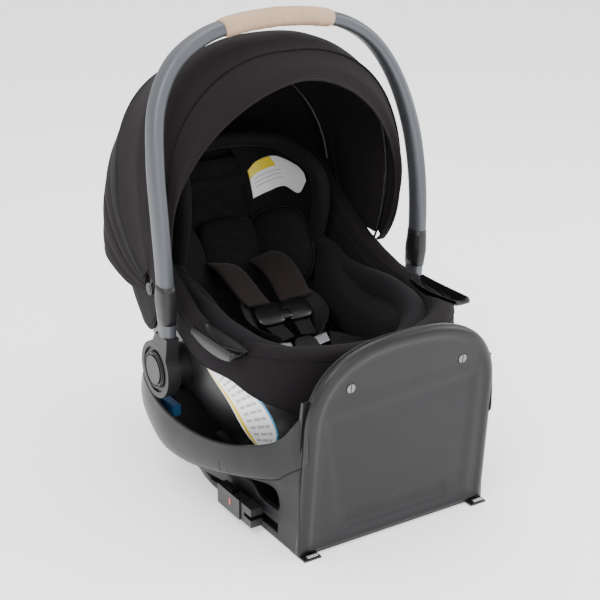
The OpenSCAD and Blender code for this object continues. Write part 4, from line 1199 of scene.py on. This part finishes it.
TILT_FRONT = [[26, 150], [60, 138], [136, 118], [220, 107], [333, 101]]
TILT_CREST = [[26, 118], [136, 104], [220, 97], [333, 94]]
TILT_BACK = [[26, 104], [136, 94], [220, 90], [333, 88]]
TILT_MID = [[26, 66], [136, 76], [220, 78], [333, 77]]
TILT_PIPE = [[26, 22], [60, 28], [131, 41], [195, 54], [320, 63]]
TILT_LAP = [[r, a + 5] for r, a in TILT_PIPE]
TILT_R1 = [[26, 8], [131, 30], [195, 42], [300, 48]]
TILT_R2 = [[26, -6], [131, 18], [195, 29], [282, 37]]
TILT_R3 = [[26, -16], [131, 6], [195, 15], [244, 24]]
TILT_HEM = [[26, -24], [131, -4], [195, 4], [236, 15]]
TILT_VISOR = [[26, 150], [60, 139], [136, 120], [210, 113], [314, 110]]
TILT_DROP = [[r, a + min(r, 110) / 22] for r, a in TILT_FRONT]


def canopy_part(name, rows, body, steps, puff, seed, *nodes):
    """Cloth stretched through hoops; puff lets it swell (or sag) between them."""
    hoops = [[i, bow(*row).tolist()] for i, row in enumerate(rows)]
    at = np.linspace(0, len(rows) - 1, steps)
    grid = np.array([smooth(hoops, q) for q in at])
    out = normals(grid)
    if np.mean(np.sum(out * (grid - [0, PIVOT_Y, PIVOT_Z + 40]), -1)) < 0:
        out = -out
    share = np.sin(math.pi * (at % 1))[:, None] * puff
    spread = np.sin(np.linspace(0, math.pi, grid.shape[1]))[None, :] ** 0.5
    edge = np.minimum(1, np.minimum(np.arange(steps), np.arange(steps)[::-1]) / 3)[:, None]
    soft = (ripple(grid, 90, seed) * 0.9 + ripple(grid * [1, 1, 0.6], 34, seed + 1) * 0.25) * edge
    grid = grid + out * (share * spread + soft * 0.7)[..., None]
    inner = grid - out * 2.4
    obj = wall(name, grid, inner, body, skins=("outer", "lining_brown"))
    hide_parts(*nodes)
    return grid, out


W0, R0 = BOW_HALF_W, BOW_R
WIRE_W = W0 - CLOTH_T - WIRE_R - 0.9
MID_W = WIRE_W - WIRE_R - 0.5
REAR_W = MID_W - CLOTH_T - 1.0
front_grid, front_out = canopy_part("canopy_front_band", [
    (W0 - 0.8, R0 - 8, 2.4, TILT_FRONT), (W0 - 0.1, R0 - 1.5, 2.45, TILT_CREST),
    (W0, R0, 2.45, TILT_BACK)], "front_canopy", 34, 0.6, 51, "canopy_front")
visor_grid, visor_out = canopy_part("canopy_peak", [
    (W0 - 1.6, R0 - 9.5, 2.35, TILT_FRONT), (W0 - 6, R0 - 18, 2.05, TILT_DROP),
    (W0 - 11, R0 - 28, 1.8, TILT_VISOR)], "front_canopy", 40, -0.8, 61, "canopy_visor")
mid_grid, mid_out = canopy_part("canopy_middle", [
    (MID_W, R0 - 14, 2.45, TILT_CREST), (MID_W, R0 - 16, 2.45, TILT_MID),
    (MID_W, R0 - 18, 2.45, TILT_PIPE)], "middle_canopy", 60, -1.6, 71, "canopy_mid")
rear_grid, rear_out = canopy_part("canopy_back", [
    (REAR_W, R0 - 23.4, 2.45, TILT_LAP), (REAR_W, R0 - 25.2, 2.45, TILT_PIPE), (REAR_W, 301, 2.6, TILT_R1),
    (REAR_W, 281, 2.8, TILT_R2), (REAR_W, 254, 3, TILT_R3), (REAR_W, 237, 3.2, TILT_HEM)],
    "carrier", 90, 1.5, 81, "canopy_rear")


def edge_cord(name, line, size, body, key):
    obj = sweep(name, line, size, size, body, (0, 1, 0.2), n=10)
    return dress(obj, key)


edge_cord("visor_hem", visor_grid[-1] - visor_out[-1] * 1.2, 3.6, "front_canopy", "piping")
# Dark cord along the front band's lower edge: painted shadow, standing for the shade where the band's cloth
# overlaps the visor
edge_cord("visor_shadow_line", front_grid[0] - front_out[0] * 0.4, 2.6, "front_canopy", "lining")
edge_cord("front_band_hem", front_grid[-1] - front_out[-1] * 1.2, 3.2, "front_canopy", "outer")
edge_cord("canopy_piping", mid_grid[-1] - mid_out[-1] * 0.6, 4.0, "middle_canopy", "piping_grey")
edge_cord("canopy_back_hem", rear_grid[-1] - rear_out[-1] * 1.2, 3.6, "carrier", "piping")
edge_cord("canopy_back_seam", rear_grid[54] - rear_out[54] * 0.2, 1.8, "carrier", "lining")
paint_node("front_bow", "black")
paint_node("rear_bow", "black")

# ------------------------------------------------------------------ floor, light and camera

floor = add_mesh("floor", [(-9000, -9000, 0), (9000, -9000, 0), (9000, 9000, 0), (-9000, 9000, 0)],
                 [(0, 1, 2, 3)], shade=False)
paper = Look("floor_paper")
paper.colour(paper.noise(paper.where(), 6.0, 2.0, 0.5), (0.93, 0.93, 0.93), (0.96, 0.96, 0.96))
paper.set(Roughness=0.7, Emission_Color=(1, 1, 1, 1), Emission_Strength=0.6)
floor.data.materials.append(paper.mat)

world = bpy.data.worlds.new("studio")
bpy.context.scene.world = world
world.use_nodes = True
world.node_tree.nodes["Background"].inputs["Color"].default_value = (1.0, 1.0, 1.0, 1)
world.node_tree.nodes["Background"].inputs["Strength"].default_value = 1.5


def lamp(name, place, target, power_w, size, colour=(1, 1, 1)):
    data = bpy.data.lights.new(name, "AREA")
    data.energy, data.size, data.color = power_w, size, colour
    obj = bpy.data.objects.new(name, data)
    obj.location = place
    obj.rotation_mode = "QUATERNION"
    obj.rotation_quaternion = (Vector(target) - Vector(place)).to_track_quat("-Z", "Y")
    bpy.context.scene.collection.objects.link(obj)
    return obj


lamp("key", (-1.6, -1.0, 2.2), (0, 0, 0.3), 42, 1.4)
lamp("side", (1.9, -0.9, 1.3), (0, 0, 0.25), 26, 1.2)
lamp("top", (0.1, 0.5, 2.6), (0, 0, 0.3), 34, 1.8)
lamp("front", (-0.3, -2.4, 0.9), (0, 0, 0.2), 16, 1.2)

camera = bpy.data.cameras.new("camera")
camera.lens, camera.sensor_width = 80.41, 36
eye = bpy.data.objects.new("camera", camera)
bpy.context.scene.collection.objects.link(eye)
az, el = math.radians(-32.336), math.radians(20.843)
back = Vector((math.sin(az) * math.cos(el), -math.cos(az) * math.cos(el), math.sin(el)))
eye.location = (-0.96006, -1.54293, 0.93759)
eye.rotation_mode = "QUATERNION"
eye.rotation_quaternion = (-back).to_track_quat("-Z", "Y")
camera.clip_start, camera.clip_end = 0.05, 60
bpy.context.scene.camera = eye
